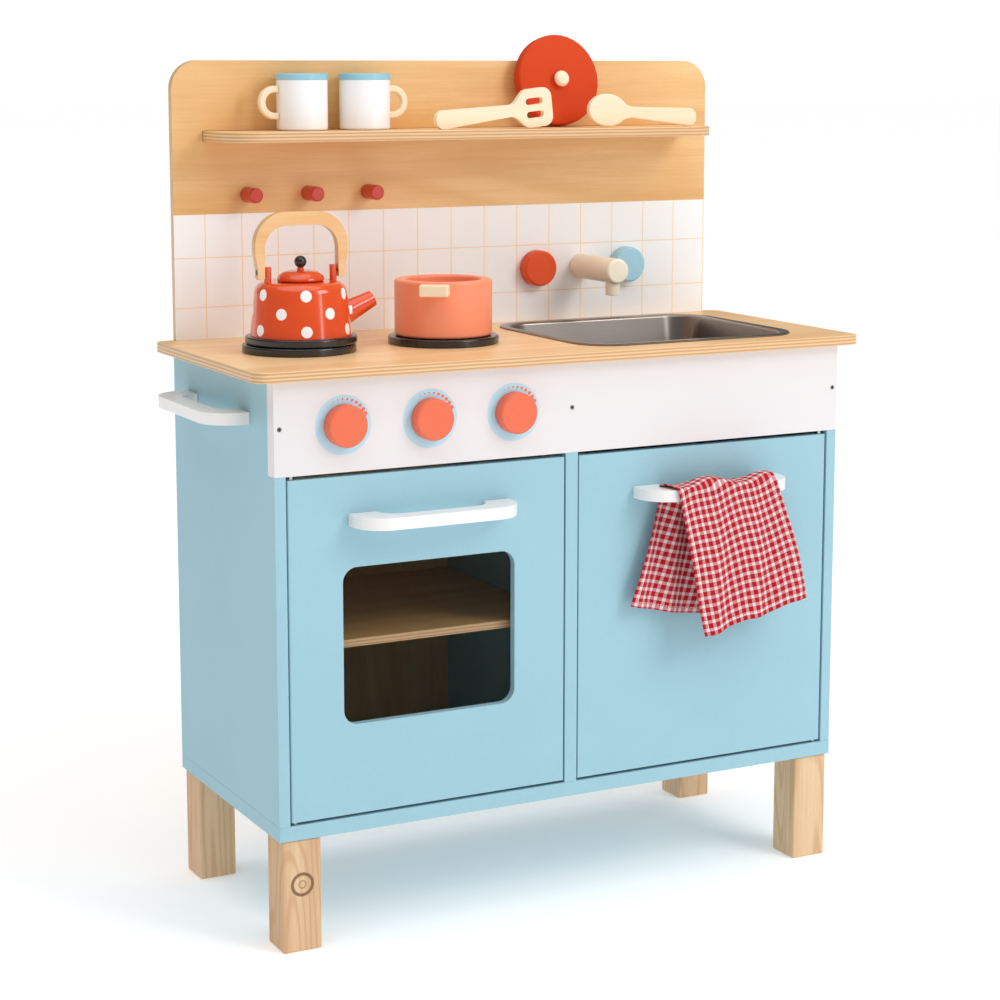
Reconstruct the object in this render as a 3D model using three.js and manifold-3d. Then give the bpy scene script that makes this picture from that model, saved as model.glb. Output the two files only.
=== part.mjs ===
// Wooden toy kitchen: an oven and a cupboard under a plywood worktop, with a tiled backboard,
// two hotplates, a steel sink, a tap, and the pots, mugs, utensils and towel that belong to it.
// Millimetres, +X to the right as seen by the child, +Y to the back, +Z up.
import * as THREE from "three";
import { mergeVertices } from "three/addons/utils/BufferGeometryUtils.js";
import Module from "manifold-3d";

const wasm = await Module();
wasm.setup();

// ---------- Driving dimensions ----------

// Clearances between pieces
const glueGap = 0.1; // between two faces that are glued or screwed together
const fitGap = 0.3; // round a piece that sits in a hole, groove or rebate
const pinPlay = 0.2; // round a hinge pin

// Cabinet
const cabinetWidth = 562;
const cabinetDepth = 242;
const legHeight = 99;
const legSide = 35;
const legSideInset = 3;
const legFrontInset = 1;
const bottomBoardThickness = 13;
const sidePanelHeight = 379.5;
const sidePanelThickness = 10;
const dividerThickness = 12;
const dividerOffset = -0.8; // centre of the divider, left of the cabinet's middle
const backPanelThickness = 4;
const backPanelInset = 1;
const fasciaHeight = 80;
const fasciaThickness = 14;
const shelfInOvenThickness = 7;
const shelfInOvenHeight = 145; // above the bottom board
const shelfInOvenSetback = 15;
const grooveDepth = 3;

// Worktop
const worktopThickness = 9;
const worktopSideOverhang = 19;
const worktopFrontOverhang = 11;
const worktopCornerRadius = 12;

// Backboard and its shelf
const backboardHeight = 251.5;
const backboardThickness = 8;
const backboardInset = 19; // from each end of the worktop
const backboardCornerRadius = 26;
const shelfHeight = 179.5; // underside of the shelf above the worktop
const shelfThickness = 9;
const shelfDepth = 75;
const shelfWidth = 504;
const shelfCornerRadius = 30;
const shelfGrooveDepth = 3;

// Doors
const doorThickness = 10;
const doorRecess = 0.5; // door face behind the cabinet's front
const doorTopGap = 3.5;
const doorBottomGap = 2.5;
const doorSideGap = 1.5;
const doorHingeEdgeRadius = 1.5;
const hingePinRadius = 2.2;
const hingePinInset = 4.5; // pin's axis from the door's edge and from its face
const hingePinInDoor = 12;
const hingePinInFrame = 8;
const windowSideMargin = 49.1; // from the door's edges to the window
const windowBottomMargin = 78.7;
const windowTopMargin = 78.4;
const windowCornerRadius = 13;
const paneThickness = 2;
const paneLap = 4;
const catchSize = 12;
const catchHeight = 26;

// Bow handles
const handleLength = 152;
const handleProjection = 36;
const handleBarDepth = 17.5;
const handleThickness = 10.5;
const handleOuterRadius = 28;
const handleInnerRadius = 18;
const handleFootLength = 25;
const doorHandleDrop = 32; // from the door's top edge to the handle's top
const sideHandleDrop = 32; // from the worktop's underside to the side handle's top
const sideHandleOffset = 8; // behind the middle of the side panel

// Dial knobs and tap
const dialPitch = 80;
const dialRadius = 18;
const dialLength = 12;
const knobChamfer = 1.5;
const stemRadius = 4;
const dialStemLength = 17; // from the fascia's front, through it
const tapStemLength = 7; // from the backboard's front, stopping inside it
const tapPitch = 50; // from the spout to each tap knob
const tapHeight = 52; // axis above the worktop
const tapKnobRadius = 17.3;
const tapKnobLength = 13;
const spoutRadius = 12;
const spoutLength = 75;
const nozzleRadius = 7;
const nozzleSetback = 11; // nozzle's axis behind the spout's end
const nozzleDrop = 11.5; // below the spout
const spigotRadius = 4.5;
const spigotLength = 5;

// Pegs
const pegRadius = 7;
const pegLength = 24;
const pegPitch = 60;
const pegMiddle = -150.5; // middle peg, from the backboard's centre
const pegHeight = 130.5; // axis above the worktop

// Sink
const sinkWidth = 230;
const sinkLength = 204;
const sinkCentreX = 141;
const sinkCentreY = -4;
const sinkCornerRadius = 38;
const sinkFlange = 9;
const sinkDepth = 62;
const sinkSheet = 1.4;
const sinkTaper = 7;
const sinkRimHeight = 1.6;

// Hotplates
const hotplateRadius = 50;
const hotplateThickness = 7;
const hotplateY = -6;
const hotplateLeftX = -210;
const hotplatePitch = 140;

// Kettle, measured from its own base
const kettleTurn = 2; // mm right of the hotplate's centre
const kettleBaseRadius = 49;
const kettleBaseHeight = 7;
const kettleFootRadius = 44.6;
const kettleTopRadius = 40.5;
const kettleShoulder = 9.5;
const kettleHeight = 53.8; // to the flat top
const kettleWall = 3.5;
const kettleMouthRadius = 15.5;
const kettleLidRadius = 21;
const kettleLidHeight = 9;
const kettleLidNeck = 2.6;
const kettleBallRadius = 5.4;
const spoutRootRadius = 11.5;
const spoutTipRadius = 7.2;
const spoutRootX = 34;
const spoutRootHeight = 20.5;
const spoutRise = 24; // degrees
const spoutReach = 34;
const spoutWall = 2.2;
const lidPostGap = 6.5; // between the lid's edge and a post
const postRadius = 3.2;
const postHeight = 67.3;
const pivotHeight = 62.5;
const pivotRadius = 1.5;
const pivotHeadRadius = 2.4;
const pivotHeadHeight = 0.9;
const archFlare = 2.4; // how far the arch stands out beyond its feet
const archFootThickness = 6.4;
const archTop = 114.5;
const archThicknessTop = 12;
const archThicknessSide = 9.4;
const archBottom = 55;
const archDepth = 8;
const archCornerRadius = 29;
const archWaistRadius = 12;
const archWaistRise = 6; // straight stretch between the waist and the top corner

// Pot
const potRadius = 44;
const potHeight = 50.5;
const potWall = 10;
const potFloor = 8;
const potEdge = 1.6;
const potTurn = 35; // degrees that the pot's handles are turned from front and back
const potHandleWidth = 26;
const potHandleDepth = 12;
const potHandleHeight = 10.5;
const potHandleTop = 49;
const potLidRadius = 43.5;
const potLidThickness = 12;
const potLidLean = 10;
const potLidX = 103;
const potLidKnobRadius = 7.6;
const potLidKnobHeight = 9;

// Mugs
const mugRadius = 23.3;
const mugHeight = 51;
const mugWall = 3.5;
const mugFloor = 4;
const mugRimHeight = 6;
const mugRimLip = 0.7;
const mugLeftX = -166;
const mugPitch = 62;
const mugFromBoard = 26;
const mugHandleReach = 19;
const mugHandleHeight = 30;
const mugHandleThickness = 6;
const mugHandleDepth = 7;
const mugHandleBottom = 10;

// Spatula and spoon, standing on edge on the shelf
const utensilThickness = 6;
const utensilSetback = 14; // behind the shelf's front edge
const spatulaLength = 121;
const spatulaHeadLength = 44;
const spatulaHeadWidth = 36;
const utensilNeckWidth = 11;
const utensilEndWidth = 17.5;
const spatulaX = 11;
const spoonLength = 120;
const spoonBowlLength = 42;
const spoonBowlWidth = 31;
const spoonX = 171;
const spoonFillet = 3.5;
const spoonNeck = 12;
const bladeCornerRadius = 9;
const slotLength = 18;
const slotWidth = 6.2;

// Screws
const screwHeadRadius = 1.8;
const screwHeadHeight = 1.2;
const screwShankRadius = 1.2;
const screwLength = 24;

// Towel
const towelThickness = 2.4;
const towelStandOff = 1.2; // clear of the bar
const towelTopLeft = 80;
const towelTopRight = 190;
const towelSlant = 0.27; // sideways run of the front flap for each unit of fall
const towelFrontFall = 124;
const towelBackFall = 105;

// ---------- Derived levels and planes ----------

const left = -cabinetWidth / 2;
const right = cabinetWidth / 2;
const front = -cabinetDepth / 2;
const back = cabinetDepth / 2;
const boardBottom = legHeight;
const floorTop = boardBottom + bottomBoardThickness;
const panelBottom = floorTop + glueGap;
const panelTop = panelBottom + sidePanelHeight;
const fasciaBottom = panelTop - fasciaHeight;
const worktopBottom = panelTop + glueGap;
const worktopTop = worktopBottom + worktopThickness;
const worktopFront = front - worktopFrontOverhang;
const worktopLeft = left - worktopSideOverhang;
const worktopRight = right + worktopSideOverhang;
const innerLeft = left + sidePanelThickness;
const innerRight = right - sidePanelThickness;
const dividerLeft = dividerOffset - dividerThickness / 2;
const dividerRight = dividerOffset + dividerThickness / 2;
const backPanelFront = back - backPanelInset - backPanelThickness;
const boardFront = back - backboardThickness;
const backboardBottom = worktopTop + glueGap;
const backboardTop = worktopTop + backboardHeight;
const shelfBottom = worktopTop + shelfHeight;
const shelfTop = shelfBottom + shelfThickness;
const shelfFront = boardFront - shelfDepth;
const doorFace = front + doorRecess;
const doorBack = doorFace + doorThickness;
const doorBottom = floorTop + doorBottomGap;
const doorTop = fasciaBottom - doorTopGap;
const ovenDoorLeft = innerLeft + doorSideGap;
const ovenDoorRight = dividerLeft - doorSideGap;
const cupboardDoorLeft = dividerRight + doorSideGap;
const cupboardDoorRight = innerRight - doorSideGap;
const ovenMiddle = (ovenDoorLeft + ovenDoorRight) / 2;
const cupboardMiddle = (cupboardDoorLeft + cupboardDoorRight) / 2;
const pinY = doorFace + hingePinInset;
const leftPinX = ovenDoorLeft + hingePinInset;
const rightPinX = cupboardDoorRight - hingePinInset;
const fasciaMiddle = fasciaBottom + fasciaHeight / 2;
const tapZ = worktopTop + tapHeight;
const pegZ = worktopTop + pegHeight;
const hotplateTop = worktopTop + glueGap + hotplateThickness;
const stemHoleRadius = stemRadius + fitGap;
const spigotHoleRadius = spigotRadius + fitGap;
const postSpread = kettleLidRadius + lidPostGap + postRadius;
const archFoot = postSpread + postRadius + 2 * fitGap;
const archHalfWidth = archFoot + archFootThickness + archFlare;

// ---------- Finishes ----------

function finish(color, roughness, metalness = 0) {
  return new THREE.MeshStandardMaterial({ color, roughness, metalness });
}

const bluePaint = finish(0xa9cfdd, 0.45);
const whitePaint = finish(0xefebea, 0.4);
const birchPly = finish(0xf2c48f, 0.5);
const legWood = finish(0xdcb187, 0.6);
const paleBeech = finish(0xf6e4c6, 0.55);
const coralPaint = finish(0xee7b5e, 0.4);
const redEnamel = finish(0xd94b22, 0.2);
const redPaint = finish(0xd0483f, 0.35);
const blackPaint = finish(0x1c1a1c, 0.35);
const steel = finish(0x9c9894, 0.3, 1);
const clearAcrylic = finish(0xdfe8ea, 0.05);
const cloth = finish(0xd8324a, 0.9);

// ---------- Small makers ----------

/** A box between two corners. */
function block(x0, x1, y0, y1, z0, z1) {
  const geometry = new THREE.BoxGeometry(x1 - x0, y1 - y0, z1 - z0);
  return geometry.translate((x0 + x1) / 2, (y0 + y1) / 2, (z0 + z1) / 2);
}

/** A round bar along X, Y or Z between two values on that axis. */
function bar(axis, radius, from, to, centre, sides = 20) {
  const geometry = new THREE.CylinderGeometry(radius, radius, to - from, sides);
  if (axis === "x") geometry.rotateZ(-Math.PI / 2);
  if (axis === "z") geometry.rotateX(Math.PI / 2);
  const [first, second] = centre;
  const middle = (from + to) / 2;
  if (axis === "x") return geometry.translate(middle, first, second);
  if (axis === "y") return geometry.translate(first, middle, second);
  return geometry.translate(first, second, middle);
}

/** A solid turned about Z from [radius, height] points. */
function turned(points, sides) {
  const profile = points.map(([radius, height]) => new THREE.Vector2(radius, height));
  return new THREE.LatheGeometry(profile, sides).rotateX(Math.PI / 2);
}

/** An outline in X and Y, extruded upwards between two heights. */
function plate(outline, z0, z1, curveSegments = 8) {
  const options = { depth: z1 - z0, bevelEnabled: false, curveSegments };
  return new THREE.ExtrudeGeometry(outline, options).translate(0, 0, z0);
}

/** An outline in X and Z, extruded backwards between two planes. */
function upright(outline, y0, y1, curveSegments = 8) {
  const options = { depth: y1 - y0, bevelEnabled: false, curveSegments };
  return new THREE.ExtrudeGeometry(outline, options).rotateX(Math.PI / 2).translate(0, y1, 0);
}

/** A closed outline through corner points, each rounded by its own radius. */
function outlineOf(corners) {
  const shape = new THREE.Shape();
  const count = corners.length;
  corners.forEach(([x, y, radius = 0], index) => {
    const [px, py] = corners[(index + count - 1) % count];
    const [nx, ny] = corners[(index + 1) % count];
    const start = index === 0 ? "moveTo" : "lineTo";
    if (radius === 0) {
      shape[start](x, y);
      return;
    }
    const corner = new THREE.Vector2(x, y);
    const toPrevious = new THREE.Vector2(px, py).sub(corner).normalize();
    const toNext = new THREE.Vector2(nx, ny).sub(corner).normalize();
    const halfAngle = Math.acos(toPrevious.dot(toNext)) / 2;
    const entry = corner.clone().addScaledVector(toPrevious, radius / Math.tan(halfAngle));
    const middle = toPrevious.clone().add(toNext).normalize();
    const centre = corner.clone().addScaledVector(middle, radius / Math.sin(halfAngle));
    const leave = corner.clone().addScaledVector(toNext, radius / Math.tan(halfAngle));
    const from = entry.clone().sub(centre).angle();
    const to = leave.clone().sub(centre).angle();
    const clockwise = toPrevious.cross(toNext) > 0;
    shape[start](entry.x, entry.y);
    shape.absarc(centre.x, centre.y, radius, from, to, clockwise);
  });
  return shape;
}

/** A rectangle with one radius on all corners. */
function roundedRectangle(x0, x1, y0, y1, radius) {
  return outlineOf([
    [x0, y0, radius],
    [x1, y0, radius],
    [x1, y1, radius],
    [x0, y1, radius],
  ]);
}

/** A closed skin through rings of points, all with the same count, with a flat cap at each end. */
function loft(rings) {
  const count = rings[0].length;
  const positions = rings.flat(2);
  const index = [];
  for (let ring = 0; ring + 1 < rings.length; ring += 1) {
    for (let i = 0; i < count; i += 1) {
      const j = (i + 1) % count;
      const low = ring * count;
      const high = low + count;
      index.push(low + i, low + j, high + j, low + i, high + j, high + i);
    }
  }
  const last = (rings.length - 1) * count;
  for (let i = 1; i + 1 < count; i += 1) {
    index.push(0, i + 1, i);
    index.push(last, last + i, last + i + 1);
  }
  const geometry = new THREE.BufferGeometry();
  geometry.setAttribute("position", new THREE.Float32BufferAttribute(positions, 3));
  geometry.setIndex(index);
  return geometry;
}

/** The solid inside a closed geometry, ready to be joined or cut. */
function solidOf(geometry) {
  const bare = geometry.clone();
  bare.deleteAttribute("normal");
  bare.deleteAttribute("uv");
  const merged = mergeVertices(bare, 1e-4);
  const corners = merged.index.array;
  const kept = [];
  for (let i = 0; i < corners.length; i += 3) {
    const [a, b, c] = [corners[i], corners[i + 1], corners[i + 2]];
    if (a !== b && b !== c && c !== a) kept.push(a, b, c);
  }
  const vertProperties = Float32Array.from(merged.attributes.position.array);
  const mesh = new wasm.Mesh({ numProp: 3, vertProperties, triVerts: Uint32Array.from(kept) });
  return new wasm.Manifold(mesh);
}

/** The geometry of a finished solid. */
function geometryOf(solid) {
  const mesh = solid.getMesh();
  const geometry = new THREE.BufferGeometry();
  geometry.setAttribute("position", new THREE.Float32BufferAttribute(mesh.vertProperties, 3));
  geometry.setIndex(new THREE.Uint32BufferAttribute(mesh.triVerts, 1));
  return geometry;
}

/** One geometry with others cut out of it. */
function carve(base, ...cutters) {
  return geometryOf(cutters.reduce((rest, cutter) => rest.subtract(solidOf(cutter)), solidOf(base)));
}

/** Several geometries joined into one. */
function weld(first, ...others) {
  return geometryOf(others.reduce((whole, other) => whole.add(solidOf(other)), solidOf(first)));
}

/** A named piece in its finish. */
function piece(name, geometry, material) {
  const mesh = new THREE.Mesh(geometry, material);
  mesh.name = name;
  return mesh;
}

/** A group of pieces at a place. */
function assembly(x, y, z, pieces) {
  const group = new THREE.Group();
  group.position.set(x, y, z);
  group.add(...pieces);
  return group;
}

// ---------- Cabinet ----------

/** The space of the oven shelf's end in the panel beside it. */
function shelfGroove(x0, x1) {
  const z0 = floorTop + shelfInOvenHeight - fitGap;
  const z1 = floorTop + shelfInOvenHeight + shelfInOvenThickness + fitGap;
  return block(x0, x1, front + shelfInOvenSetback - fitGap, backPanelFront + fitGap, z0, z1);
}

/** The notch that holds the fascia at the top front of an upright. */
function fasciaNotch(x0, x1) {
  const z0 = fasciaBottom - glueGap;
  return block(x0 - 1, x1 + 1, front - 1, front + fasciaThickness + glueGap, z0, panelTop + 1);
}

/** The hole of a fascia screw in the edge of the upright behind it. */
function screwHole(x) {
  const radius = screwShankRadius + fitGap;
  return bar("y", radius, front - 1, front + screwLength + 1, [x, fasciaMiddle], 10);
}

const screwPlaces = [left + sidePanelThickness / 2, dividerOffset, right - sidePanelThickness / 2];

function makeUprights() {
  const leftPanel = carve(
    block(left, innerLeft, front, back, panelBottom, panelTop),
    fasciaNotch(left, innerLeft),
    shelfGroove(innerLeft - grooveDepth - fitGap, innerLeft + 1),
    screwHole(screwPlaces[0]),
  );
  const rightPanel = carve(
    block(innerRight, right, front, back, panelBottom, panelTop),
    fasciaNotch(innerRight, right),
    screwHole(screwPlaces[2]),
  );
  const divider = carve(
    block(dividerLeft, dividerRight, front, backPanelFront - glueGap, panelBottom, panelTop),
    fasciaNotch(dividerLeft, dividerRight),
    shelfGroove(dividerLeft - 1, dividerLeft + grooveDepth + fitGap),
    screwHole(screwPlaces[1]),
  );
  return [
    piece("left_side_panel", leftPanel, bluePaint),
    piece("right_side_panel", rightPanel, bluePaint),
    piece("centre_divider", divider, bluePaint),
  ];
}

function makeBottomBoard() {
  const pinHoles = [leftPinX, rightPinX].map((x) =>
    bar("z", hingePinRadius + pinPlay, floorTop - hingePinInFrame - fitGap, floorTop + 1, [x, pinY], 16),
  );
  const board = carve(block(left, right, front, back, boardBottom, floorTop), ...pinHoles);
  return piece("bottom_board", board, bluePaint);
}

function makeFascia() {
  const rear = front + fasciaThickness;
  const stemHoles = dialPlaces.map((x) => bar("y", stemHoleRadius, front - 1, rear + 1, [x, fasciaMiddle]));
  const pinHoles = [leftPinX, rightPinX].map((x) => {
    const top = fasciaBottom + hingePinInFrame + fitGap;
    return bar("z", hingePinRadius + pinPlay, fasciaBottom - 1, top, [x, pinY], 16);
  });
  const screwSeats = screwPlaces.flatMap((x) => [
    bar("y", screwShankRadius + fitGap, front, rear + 1, [x, fasciaMiddle], 10),
    bar("y", screwHeadRadius + fitGap, front - 1, front + screwHeadHeight + fitGap, [x, fasciaMiddle], 16),
  ]);
  const board = block(left, right, front, rear, fasciaBottom, panelTop);
  return piece("fascia_panel", carve(board, ...stemHoles, ...pinHoles, ...screwSeats), whitePaint);
}

const screwNames = ["fascia_screw_left", "fascia_screw_middle", "fascia_screw_right"];

function makeFasciaScrews() {
  return screwPlaces.map((x, index) => {
    const centre = [x, fasciaMiddle];
    const head = bar("y", screwHeadRadius, front + fitGap / 2, front + screwHeadHeight, centre, 16);
    const shank = bar("y", screwShankRadius, front + screwHeadHeight / 2, front + screwLength, centre, 10);
    return piece(screwNames[index], weld(head, shank), steel);
  });
}

function makeBackPanel() {
  const x0 = innerLeft + glueGap;
  const x1 = innerRight - glueGap;
  const y1 = back - backPanelInset;
  return piece("back_panel", block(x0, x1, backPanelFront, y1, panelBottom, panelTop), birchPly);
}

function makeOvenShelf() {
  const x0 = innerLeft - grooveDepth;
  const x1 = dividerLeft + grooveDepth;
  const z0 = floorTop + shelfInOvenHeight;
  const y0 = front + shelfInOvenSetback;
  const board = block(x0, x1, y0, backPanelFront - glueGap, z0, z0 + shelfInOvenThickness);
  return piece("oven_shelf", board, birchPly);
}

/** The four legs under the bottom board. */
function makeLegs() {
  const top = boardBottom - glueGap;
  const sides = [
    ["left", left + legSideInset],
    ["right", right - legSideInset - legSide],
  ];
  const rows = [
    ["front", front + legFrontInset],
    ["back", back - legFrontInset - legSide],
  ];
  return rows.flatMap(([row, y]) =>
    sides.map(([side, x]) =>
      piece(`leg_${row}_${side}`, block(x, x + legSide, y, y + legSide, 0, top), legWood),
    ),
  );
}

// ---------- Doors ----------

/** A door's outline in X and Y seen from above, with its hinge edge eased. */
function doorOutline(x0, x1, hingeOnLeft) {
  const eased = doorHingeEdgeRadius;
  return outlineOf([
    [x0, doorFace, hingeOnLeft ? eased : 0],
    [x1, doorFace, hingeOnLeft ? 0 : eased],
    [x1, doorBack],
    [x0, doorBack],
  ]);
}

/** The blind holes for a door's two pins. */
function pinHolesInDoor(x) {
  const radius = hingePinRadius + pinPlay;
  const depth = hingePinInDoor + fitGap;
  return [
    bar("z", radius, doorBottom - 1, doorBottom + depth, [x, pinY], 16),
    bar("z", radius, doorTop - depth, doorTop + 1, [x, pinY], 16),
  ];
}

/** The window's opening, grown all round by a margin. */
function windowOutline(margin) {
  const z0 = doorBottom + windowBottomMargin - margin;
  const z1 = doorTop - windowTopMargin + margin;
  const x0 = ovenDoorLeft + windowSideMargin - margin;
  const x1 = ovenDoorRight - windowSideMargin + margin;
  return roundedRectangle(x0, x1, z0, z1, windowCornerRadius + margin);
}

function makeOvenDoor() {
  const rebate = doorBack - paneThickness - fitGap;
  const slab = plate(doorOutline(ovenDoorLeft, ovenDoorRight, true), doorBottom, doorTop, 4);
  const door = carve(
    slab,
    upright(windowOutline(0), doorFace - 1, doorBack + 1),
    upright(windowOutline(paneLap + fitGap), rebate, doorBack + 1),
    ...pinHolesInDoor(leftPinX),
  );
  const pane = upright(windowOutline(paneLap), doorBack - paneThickness, doorBack);
  return [piece("oven_door", door, bluePaint), piece("oven_window_pane", pane, clearAcrylic)];
}

function makeCupboardDoor() {
  const slab = plate(doorOutline(cupboardDoorLeft, cupboardDoorRight, false), doorBottom, doorTop, 4);
  return piece("cupboard_door", carve(slab, ...pinHolesInDoor(rightPinX)), bluePaint);
}

function makeHingePins() {
  const lowFoot = floorTop - hingePinInFrame;
  const highHead = fasciaBottom + hingePinInFrame;
  const pins = [
    ["oven_hinge_pin_lower", leftPinX, lowFoot, doorBottom + hingePinInDoor],
    ["oven_hinge_pin_upper", leftPinX, doorTop - hingePinInDoor, highHead],
    ["cupboard_hinge_pin_lower", rightPinX, lowFoot, doorBottom + hingePinInDoor],
    ["cupboard_hinge_pin_upper", rightPinX, doorTop - hingePinInDoor, highHead],
  ];
  return pins.map(([name, x, z0, z1]) => piece(name, bar("z", hingePinRadius, z0, z1, [x, pinY], 16), steel));
}

/** The blocks on the divider that the closed doors rest against, each with a magnet's seat. */
function makeCatches() {
  const z1 = fasciaBottom - doorTopGap;
  const y0 = doorBack + fitGap;
  const seat = (x) => bar("y", catchSize / 3, y0 - 1, y0 + 1, [x, z1 - catchHeight / 2], 16);
  const blocks = [
    ["oven_door_catch", dividerLeft - glueGap - catchSize, dividerLeft - glueGap],
    ["cupboard_door_catch", dividerRight + glueGap, dividerRight + glueGap + catchSize],
  ];
  return blocks.map(([name, x0, x1]) => {
    const body = block(x0, x1, y0, y0 + catchSize, z1 - catchHeight, z1);
    return piece(name, carve(body, seat((x0 + x1) / 2)), whitePaint);
  });
}

/** A bow handle seen from above: its feet on Y = 0 and its bar towards -Y. */
function handleGeometry() {
  const half = handleLength / 2;
  const inner = half - handleFootLength;
  const gap = handleProjection - handleBarDepth;
  const outline = outlineOf([
    [-half, -handleProjection, handleOuterRadius],
    [half, -handleProjection, handleOuterRadius],
    [half, 0],
    [inner, 0],
    [inner, -gap, handleInnerRadius],
    [-inner, -gap, handleInnerRadius],
    [-inner, 0],
    [-half, 0],
  ]);
  return plate(outline, 0, handleThickness, 10);
}

function makeHandles() {
  const doorZ = doorTop - doorHandleDrop - handleThickness;
  const onOven = piece("oven_door_handle", handleGeometry(), whitePaint);
  onOven.position.set(ovenMiddle, doorFace - glueGap, doorZ);
  const onCupboard = piece("cupboard_door_handle", handleGeometry(), whitePaint);
  onCupboard.position.set(cupboardMiddle, doorFace - glueGap, doorZ);
  const onSide = piece("side_handle", handleGeometry(), whitePaint);
  onSide.position.set(left - glueGap, sideHandleOffset, panelTop - sideHandleDrop - handleThickness);
  onSide.rotation.z = -Math.PI / 2;
  return [onOven, onCupboard, onSide];
}

// ---------- Worktop, hotplates and sink ----------

/** The sink's bowl where it passes the worktop, with room round it. */
function sinkCutout() {
  const halfWidth = sinkWidth / 2 - sinkFlange + 1;
  const halfLength = sinkLength / 2 - sinkFlange + 1;
  const [x0, x1] = [sinkCentreX - halfWidth, sinkCentreX + halfWidth];
  const [y0, y1] = [sinkCentreY - halfLength, sinkCentreY + halfLength];
  const hole = roundedRectangle(x0, x1, y0, y1, sinkCornerRadius - sinkFlange + 1);
  return plate(hole, worktopBottom - 1, worktopTop + 1);
}

function makeWorktop() {
  const outline = outlineOf([
    [worktopLeft, worktopFront, worktopCornerRadius],
    [worktopRight, worktopFront, worktopCornerRadius],
    [worktopRight, back, worktopCornerRadius],
    [worktopLeft, back, worktopCornerRadius],
  ]);
  const top = carve(plate(outline, worktopBottom, worktopTop, 6), sinkCutout());
  return piece("worktop", top, birchPly);
}

/** One ring of the sink: a rounded rectangle inset from the rim's edge. */
function sinkRing(inset, z) {
  const steps = 5;
  const halfWidth = sinkWidth / 2 - inset;
  const halfLength = sinkLength / 2 - inset;
  const radius = Math.max(sinkCornerRadius - inset, 6);
  const centres = [
    [halfWidth - radius, halfLength - radius],
    [radius - halfWidth, halfLength - radius],
    [radius - halfWidth, radius - halfLength],
    [halfWidth - radius, radius - halfLength],
  ];
  return centres.flatMap(([x, y], quarter) =>
    Array.from({ length: steps + 1 }, (_, step) => {
      const angle = ((quarter + step / steps) * Math.PI) / 2;
      return [x + radius * Math.cos(angle), y + radius * Math.sin(angle), z];
    }),
  );
}

function makeSink() {
  const floorInset = sinkFlange + sinkTaper;
  const rings = [
    sinkRing(floorInset + 10, -sinkDepth),
    sinkRing(floorInset + 3, -sinkDepth + 3),
    sinkRing(floorInset, -sinkDepth + 10),
    sinkRing(sinkFlange, 0),
    sinkRing(0, 0),
    sinkRing(1.2, sinkRimHeight),
    sinkRing(3, sinkRimHeight),
    sinkRing(sinkFlange - 1, sinkSheet),
    sinkRing(sinkFlange + sinkSheet, -1),
    sinkRing(floorInset + sinkSheet, -sinkDepth + 10),
    sinkRing(floorInset + 3 + sinkSheet, -sinkDepth + 3 + sinkSheet),
    sinkRing(floorInset + 10, -sinkDepth + sinkSheet),
  ];
  return assembly(sinkCentreX, sinkCentreY, worktopTop + glueGap, [
    piece("sink_basin", loft(rings), steel),
  ]);
}

function makeHotplates() {
  const profile = [
    [0, 0],
    [hotplateRadius, 0],
    [hotplateRadius, hotplateThickness - 1],
    [hotplateRadius - 1, hotplateThickness],
    [0, hotplateThickness],
  ];
  return ["left", "middle"].map((side, index) =>
    assembly(hotplateLeftX + index * hotplatePitch, hotplateY, worktopTop + glueGap, [
      piece(`hotplate_${side}`, turned(profile, 40), blackPaint),
    ]),
  );
}

// ---------- Backboard, shelf, tap and pegs ----------

const dialPlaces = [-1, 0, 1].map((step) => ovenMiddle + step * dialPitch);
const tapPlaces = [cupboardMiddle - tapPitch, cupboardMiddle + tapPitch];
const pegPlaces = [-1, 0, 1].map((step) => pegMiddle + step * pegPitch);

function makeBackboard() {
  const x0 = worktopLeft + backboardInset;
  const x1 = worktopRight - backboardInset;
  const outline = outlineOf([
    [x0, backboardBottom],
    [x1, backboardBottom],
    [x1, backboardTop, backboardCornerRadius],
    [x0, backboardTop, backboardCornerRadius],
  ]);
  const stemHoles = tapPlaces.map((x) => bar("y", stemHoleRadius, boardFront - 1, back + 1, [x, tapZ]));
  const depth = boardFront + spigotLength + fitGap;
  const spigotHoles = [
    bar("y", spigotHoleRadius, boardFront - 1, depth, [cupboardMiddle, tapZ]),
    ...pegPlaces.map((x) => bar("y", spigotHoleRadius, boardFront - 1, depth, [x, pegZ])),
  ];
  const groove = block(
    -shelfWidth / 2 - fitGap,
    shelfWidth / 2 + fitGap,
    boardFront - 1,
    boardFront + shelfGrooveDepth + fitGap,
    shelfBottom - fitGap,
    shelfTop + fitGap,
  );
  const board = upright(outline, boardFront, back);
  return piece("backboard", carve(board, ...stemHoles, ...spigotHoles, groove), birchPly);
}

function makeUpperShelf() {
  const half = shelfWidth / 2;
  const outline = outlineOf([
    [-half, shelfFront, shelfCornerRadius],
    [half, shelfFront, shelfCornerRadius],
    [half, boardFront + shelfGrooveDepth],
    [-half, boardFront + shelfGrooveDepth],
  ]);
  return piece("upper_shelf", plate(outline, shelfBottom, shelfTop), birchPly);
}

/** A knob turned about Y: a round head in front of a board and a stem into it. */
function knobGeometry(radius, length, stemLength) {
  const head = [
    [0, fitGap],
    [radius, fitGap],
    [radius, length - knobChamfer],
    [radius - knobChamfer, length],
    [0, length],
  ];
  const stem = turned(
    [
      [0, -stemLength],
      [stemRadius, -stemLength],
      [stemRadius, 1],
      [0, 1],
    ],
    20,
  );
  return weld(turned(head, 36), stem).rotateX(Math.PI / 2);
}

function makeDials() {
  return dialPlaces.map((x, index) => {
    const knob = knobGeometry(dialRadius, dialLength, dialStemLength);
    return assembly(x, front, fasciaMiddle, [piece(`dial_knob_${index + 1}`, knob, coralPaint)]);
  });
}

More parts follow.
